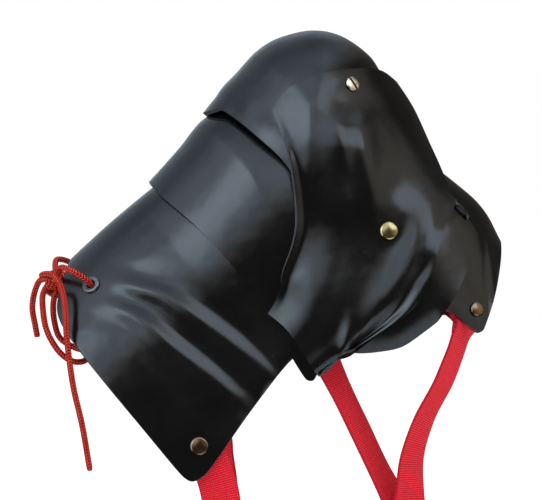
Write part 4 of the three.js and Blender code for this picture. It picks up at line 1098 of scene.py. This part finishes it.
SHIN_BRANCH = {
    "near": [(0.967, 0.896, 0.84, 0.42), (0.935, 0.882, 0.673, 0.55), (0.761, 0.853, 0.499, 0.6),
             (0.48, 0.804, 0.331, 0.62), (0.304, 0.747, 0.199, 0.64), (0.22, 0.74, 0.12, 0.62),
             (0.14, 0.735, 0.065, 0.5)],
    "far": [(0.955, 0.896, 0.844, 0.5), (0.912, 0.882, 0.68, 0.75), (0.677, 0.853, 0.51, 0.8),
            (0.296, 0.804, 0.347, 0.85), (0.12, 0.76, 0.218, 0.9), (0.06, 0.74, 0.11, 0.9),
            (0, 0.735, 0.05, 0.7)],
}
CALF_HANG = [(0.54, 0.917, 0.542), (0.73, 0.833, 0.725), (0.9, 0.7, 0.872)]


def strap_root(seat, depth, heading, aside=0.0, end=STRAP["end"]):
    """A strap's end under a rivet, at a depth below the face that the rivet stands on."""
    place, facing = seat
    under = place - facing * (depth + STRAP_DEPTH / 2 + SEAT / 2)
    along = (heading - facing * heading.dot(facing)).normalized()
    across = along.cross(facing)
    if across.x < 0:
        across = -across
    under = under + across * aside
    return [(under + along * step, across) for step in (-STRAP["end"], 0, end)]


def hung(start, end, half_width, side, shares):
    """Places between two ends from shares of the way forwards, sideways and down, and of a quarter turn."""
    rows = []
    for forward, width, fall, *swing in shares:
        place = Vector((start.x + (end.x - start.x) * forward, side * half_width * width,
                        start.z + (end.z - start.z) * fall))
        turn = -side * (swing[0] if swing else 0) * math.pi / 2
        rows.append((place, Matrix.Rotation(turn, 3, "Z") @ X))
    return rows


def round_bar(bar, radius, turns):
    return [(bar + Vector((0, radius * math.sin(math.radians(t)), radius * math.cos(math.radians(t)))), X)
            for t in turns]


def looped(bar, side):
    def level(back, rise):
        return bar + Vector((0, side * back, rise)), X
    return [level(STRAP["lap"] / 3, WRAP), *round_bar(bar, WRAP, [-side * t for t in (0, 45, 90, 135, 180)]),
            level(STRAP["lap"] / 4, -WRAP), level(STRAP["lap"] / 2, -LAP)]


def strap_routes():
    """Places of each strap's middle with the direction across it, as the frame's straps run."""
    routes = {}
    for name, side in SIDES.items():
        reach = (27.0 if side == NEAR else 11.0) - BAR / 2
        seat = SEATS["thigh_strap", name]
        bar = Vector((-THIGH_LOOP["back"], side * reach, -THIGH_LOOP["drop"]))
        back = Vector((math.sin(THIGH_TILT), 0, -math.cos(THIGH_TILT)))
        hang = THIGH_HANG if side == NEAR else [(*row, turn) for row, turn in zip(THIGH_HANG, FAR_TURNS)]
        routes["thigh_strap_" + name] = ("thigh", [
            *strap_root(seat, LEATHER, back), *hung(seat[0], bar, THIGH["free_half"], side, hang),
            *looped(bar, side)])
        pivot, shin, ring = SEATS["thigh_pivot", name], SEATS["shin_strap", name], RINGS[name]
        over = Vector((0, 0, RING["wire"] + STRAP["thick"]))
        out = Vector((0, side * WRAP, 0))
        routes["yoke_strap_" + name] = ("cop", [
            *strap_root(pivot, 3 * LEATHER + 2 * NEST, ring - pivot[0]),
            *hung(pivot[0], ring, COP["half"], side, KNEE_BRANCH[name]), (ring - out + over, X),
            *round_bar(ring, WRAP, [side * t for t in (270, 210, 150, 90)]), (ring + out + over, X),
            *hung(shin[0], ring, COP["half"], side, SHIN_BRANCH[name]),
            *strap_root(shin, LEATHER + STRAP["room"], Vector((-0.5, 0, -0.87)), -4.0, 3.0)[::-1]])
        low = ring - Vector((0, 0, RING["window"] + RING["wire"]))
        bar = Vector((CALF_LOOP["ahead"], side * reach, -CALF_LOOP["drop"]))
        routes["calf_strap_" + name] = ("cop", [
            (low + Vector((0, side * LAP, -STRAP["lap"] / 2)), X),
            (low + Vector((0, side * WRAP, -STRAP["lap"] / 4)), X),
            *round_bar(low, WRAP, [side * t for t in (90, 30, -30, -90)]),
            (low + Vector((0, -side * WRAP, -STRAP["lap"] / 3)), X),
            *hung(low, bar, RING["inset"], side, CALF_HANG), *looped(bar, side)])
    return routes


def webbing(name, route):
    """A strap that follows its route as a flat woven band."""
    steps = WEB_STEPS * (len(route) - 1)
    path = smooth_through([place for place, _ in route], steps, even=False)
    directions = spline_at(np.array([across for _, across in route], float), np.linspace(0, 1, steps + 1))
    tangents = unit(np.gradient(path, axis=0))
    across = unit(directions - tangents * (directions * tangents).sum(1)[:, None])
    facing = np.cross(tangents, across)

    def section(i, w):
        side = (2 * w - 1)[:, None]
        crown = STRAP["thick"] / 2 * (1 - 0.25 * side ** 6)
        return path[i] + across[i] * side * (STRAP["width"] / 2) + facing[i] * crown
    bm = swept(path, WEB_COLUMNS, section, STRAP["width"])
    bm.normal_update()
    start = [f for f in bm.faces if (f.calc_center_median() / MM - Vector(path[0])).length < STRAP["width"]]
    lean = sum(Vector(facing[0]).dot(f.normal) for f in start)
    if lean < 0:
        bmesh.ops.reverse_faces(bm, faces=bm.faces[:])
    piece = new_piece(name + "_web", bm, ["webbing"])
    modifier(piece, "SOLIDIFY", thickness=STRAP["thick"] * MM, offset=-1, use_even_offset=False)
    bevel(piece, 0.45, 2, 50)
    return settle(piece)


class PoleynStraps(bpy.types.Operator):
    """Weaves the webbing straps"""
    bl_idname = "poleyn.straps"
    bl_label = "Webbing straps"

    def execute(self, context):
        for node, (body, route) in strap_routes().items():
            strap = webbing(node, route)
            if node.startswith("yoke"):
                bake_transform(strap)
                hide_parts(node)
            else:
                dressed(strap, body, "red_webbing", node)
        return {"FINISHED"}


class PoleynFittings(bpy.types.Operator):
    """Softens the buckles and the rings, and finishes the hidden fittings"""
    bl_idname = "poleyn.fittings"
    bl_label = "Buckles and rings"

    def execute(self, context):
        by_body = frame["record"]["behaviour"]["bodies"]
        bodies = {node: body for body, nodes in by_body.items() for node in nodes}
        for node, source in frame["nodes"].items():
            ring = "ring" in node.split("_")
            if ring or "buckle" in node:
                bm = bmesh.new()
                bm.from_mesh(source.data)
                bmesh.ops.remove_doubles(bm, verts=bm.verts[:], dist=1e-5)
                bmesh.ops.dissolve_limit(bm, angle_limit=math.radians(1), verts=bm.verts[:],
                                         edges=bm.edges[:])
                piece = new_piece(node + "_soft", bm, ["steel" if ring else "plastic"], 40)
                bevel(piece, 0.45, 3, 35)
                settle(piece)
                dressed(piece, bodies[node], "steel" if ring else "black_plastic", node)
            elif node.endswith(("_post", "_nut", "_washer")):
                for slot in source.material_slots:
                    slot.material = material_of("steel" if node.endswith("washer") else "nickel")
        return {"FINISHED"}


LAMPS = (
    ("sky", (-1.25, -1.25, 1.35), (-0.03, 0, 0), (2.0, 1.5), 15, (0.88, 0.95, 1)),
    ("top", (0.15, 0.1, 1.9), (0, 0, 0), (1.6, 1.0), 9, (0.93, 0.97, 1)),
    ("side", (1.5, -0.5, 0.1), (0.02, 0, 0), (0.3, 1.2), 3.2, (0.93, 0.96, 1)),
    ("low", (0.35, -1.9, -0.62), (0.05, 0, -0.05), (1.3, 0.9), 5, (0.86, 0.92, 1)),
)


def make_floor():
    """A pale matt floor that reflections pass through."""
    s = Shader("floor")
    grain = s.noise(s.coordinates(), 12, 2, 0.5)
    matt = s.node("ShaderNodeBsdfPrincipled", {}, {
        "Base Color": s.mix(grain, rgba((0.86, 0.86, 0.86)), rgba((0.9, 0.9, 0.9))), "Roughness": 0.9,
        "Specular IOR Level": 0.1})
    seen, mirrored = s.rays("Is Camera Ray", "Is Glossy Ray")
    glow = s.node("ShaderNodeEmission", {}, {"Color": rgba((1, 1, 1)), "Strength": seen * 0.3})
    surface = s.node("ShaderNodeMixShader", {}, {
        0: mirrored, 1: s.node("ShaderNodeAddShader", {}, {0: matt, 1: glow}),
        2: s.node("ShaderNodeBsdfTransparent")})
    s.node("ShaderNodeOutputMaterial", {}, {"Surface": surface})
    bm = bmesh.new()
    bmesh.ops.create_grid(bm, x_segments=8, y_segments=8, size=6)
    bmesh.ops.translate(bm, verts=bm.verts[:], vec=(0, 0, CAD_BOX[0][2] - 0.001))
    floor = new_piece("floor", bm)
    floor.data.materials.append(s.material)


def make_surroundings(world):
    """White to the camera, and to the leather a cloudy sky, a wall, a window and a low glow."""
    s = Shader("studio", world)
    direction = s.coordinates("Generated")

    def towards(heading, low, high):
        facing = s.node("ShaderNodeVectorMath", {"operation": "DOT_PRODUCT"}, {
            0: direction, 1: Vector(heading).normalized()}, output="Value")
        return facing.ramp(low, high)
    seen, passed, glossy = s.rays("Is Camera Ray", "Is Transmission Ray", "Is Glossy Ray")
    cloud = s.noise(direction, 2.4, 2, 0.5)
    sky = towards((-0.72, 0.05, 0.69), 0.04, 0.36)
    overhead, behind = towards((0.1, 0, 1), 0.6, 0.95), towards((-0.3, 1, 0.1), -0.15, 0.6)
    wall = towards((0.8, -0.45, 0.4), 0.78, 0.98)
    window = towards((0.5, -0.64, 0.58), 0.95, 0.99)
    gleam = towards((-0.54, -0.72, 0.43), 0.93, 0.995)
    low = towards((0.38, -0.58, -0.72), 0.82, 0.97)
    open_sky = sky * ((1 - overhead * 0.4) * (1 - behind * 0.75))
    mirrored = (0.08 + open_sky * (0.4 + cloud * 2.9) + low * 1.5 + wall * (0.25 + cloud * 0.8)
                + window * 2.4 + gleam * 2.2)
    white = seen.call("MAXIMUM", passed)
    strength = white + (1 - white) * (glossy * mirrored + (1 - glossy) * 0.8)
    cool_or_warm = s.mix(sky.call("MAXIMUM", window + low), rgba((1.1, 1, 0.88)), rgba((0.74, 0.88, 1.04)))
    glow = s.node("ShaderNodeBackground", {}, {
        "Color": s.mix(glossy, rgba((1, 1, 1)), cool_or_warm), "Strength": strength})
    s.node("ShaderNodeOutputWorld", {}, {"Surface": glow})


class PoleynStage(bpy.types.Operator):
    """Builds the floor, the lamps and the pale surroundings"""
    bl_idname = "poleyn.stage"
    bl_label = "Stage"

    def execute(self, context):
        make_floor()
        context.scene.world = bpy.data.worlds.new("studio")
        make_surroundings(context.scene.world)
        for name, place, target, size, power, colour in LAMPS:
            data = bpy.data.lights.new(name, "AREA")
            data.shape = "RECTANGLE"
            data.size, data.size_y = size
            data.energy = power
            data.color = colour
            lamp = bpy.data.objects.new(name, data)
            lamp.location = place
            lamp.visible_glossy = False
            heading = Vector(target) - Vector(place)
            lamp.rotation_euler = heading.to_track_quat("-Z", "Y").to_euler()
            context.scene.collection.objects.link(lamp)
        context.scene.view_settings.view_transform = "Standard"
        return {"FINISHED"}


OPERATORS = (PoleynCamera, PoleynLacing, PoleynPlates, PoleynRivets, PoleynScrew, PoleynEyelets,
             PoleynStraps, PoleynFittings, PoleynStage)


class PoleynPanel(bpy.types.Panel):
    bl_idname = "VIEW3D_PT_poleyn"
    bl_label = "Winged poleyn"
    bl_space_type = "VIEW_3D"
    bl_region_type = "UI"
    bl_category = "Poleyn"

    def draw(self, context):
        for group in (context.scene.poleyn_sizes, context.scene.poleyn_colours):
            for name in group.bl_rna.properties.keys():
                if name not in ("rna_type", "name"):
                    self.layout.prop(group, name)
        for operator in OPERATORS:
            self.layout.operator(operator.bl_idname)


CLASSES = (PoleynSizes, PoleynColours, *OPERATORS, PoleynPanel)


def register():
    for each in CLASSES:
        bpy.utils.register_class(each)
    bpy.types.Scene.poleyn_sizes = bpy.props.PointerProperty(type=PoleynSizes)
    bpy.types.Scene.poleyn_colours = bpy.props.PointerProperty(type=PoleynColours)


def unregister():
    del bpy.types.Scene.poleyn_colours
    del bpy.types.Scene.poleyn_sizes
    for each in reversed(CLASSES):
        bpy.utils.unregister_class(each)


def main():
    register()
    for operator in OPERATORS:
        getattr(bpy.ops.poleyn, operator.bl_idname.split(".")[1])()


if __name__ == "__main__":
    main()
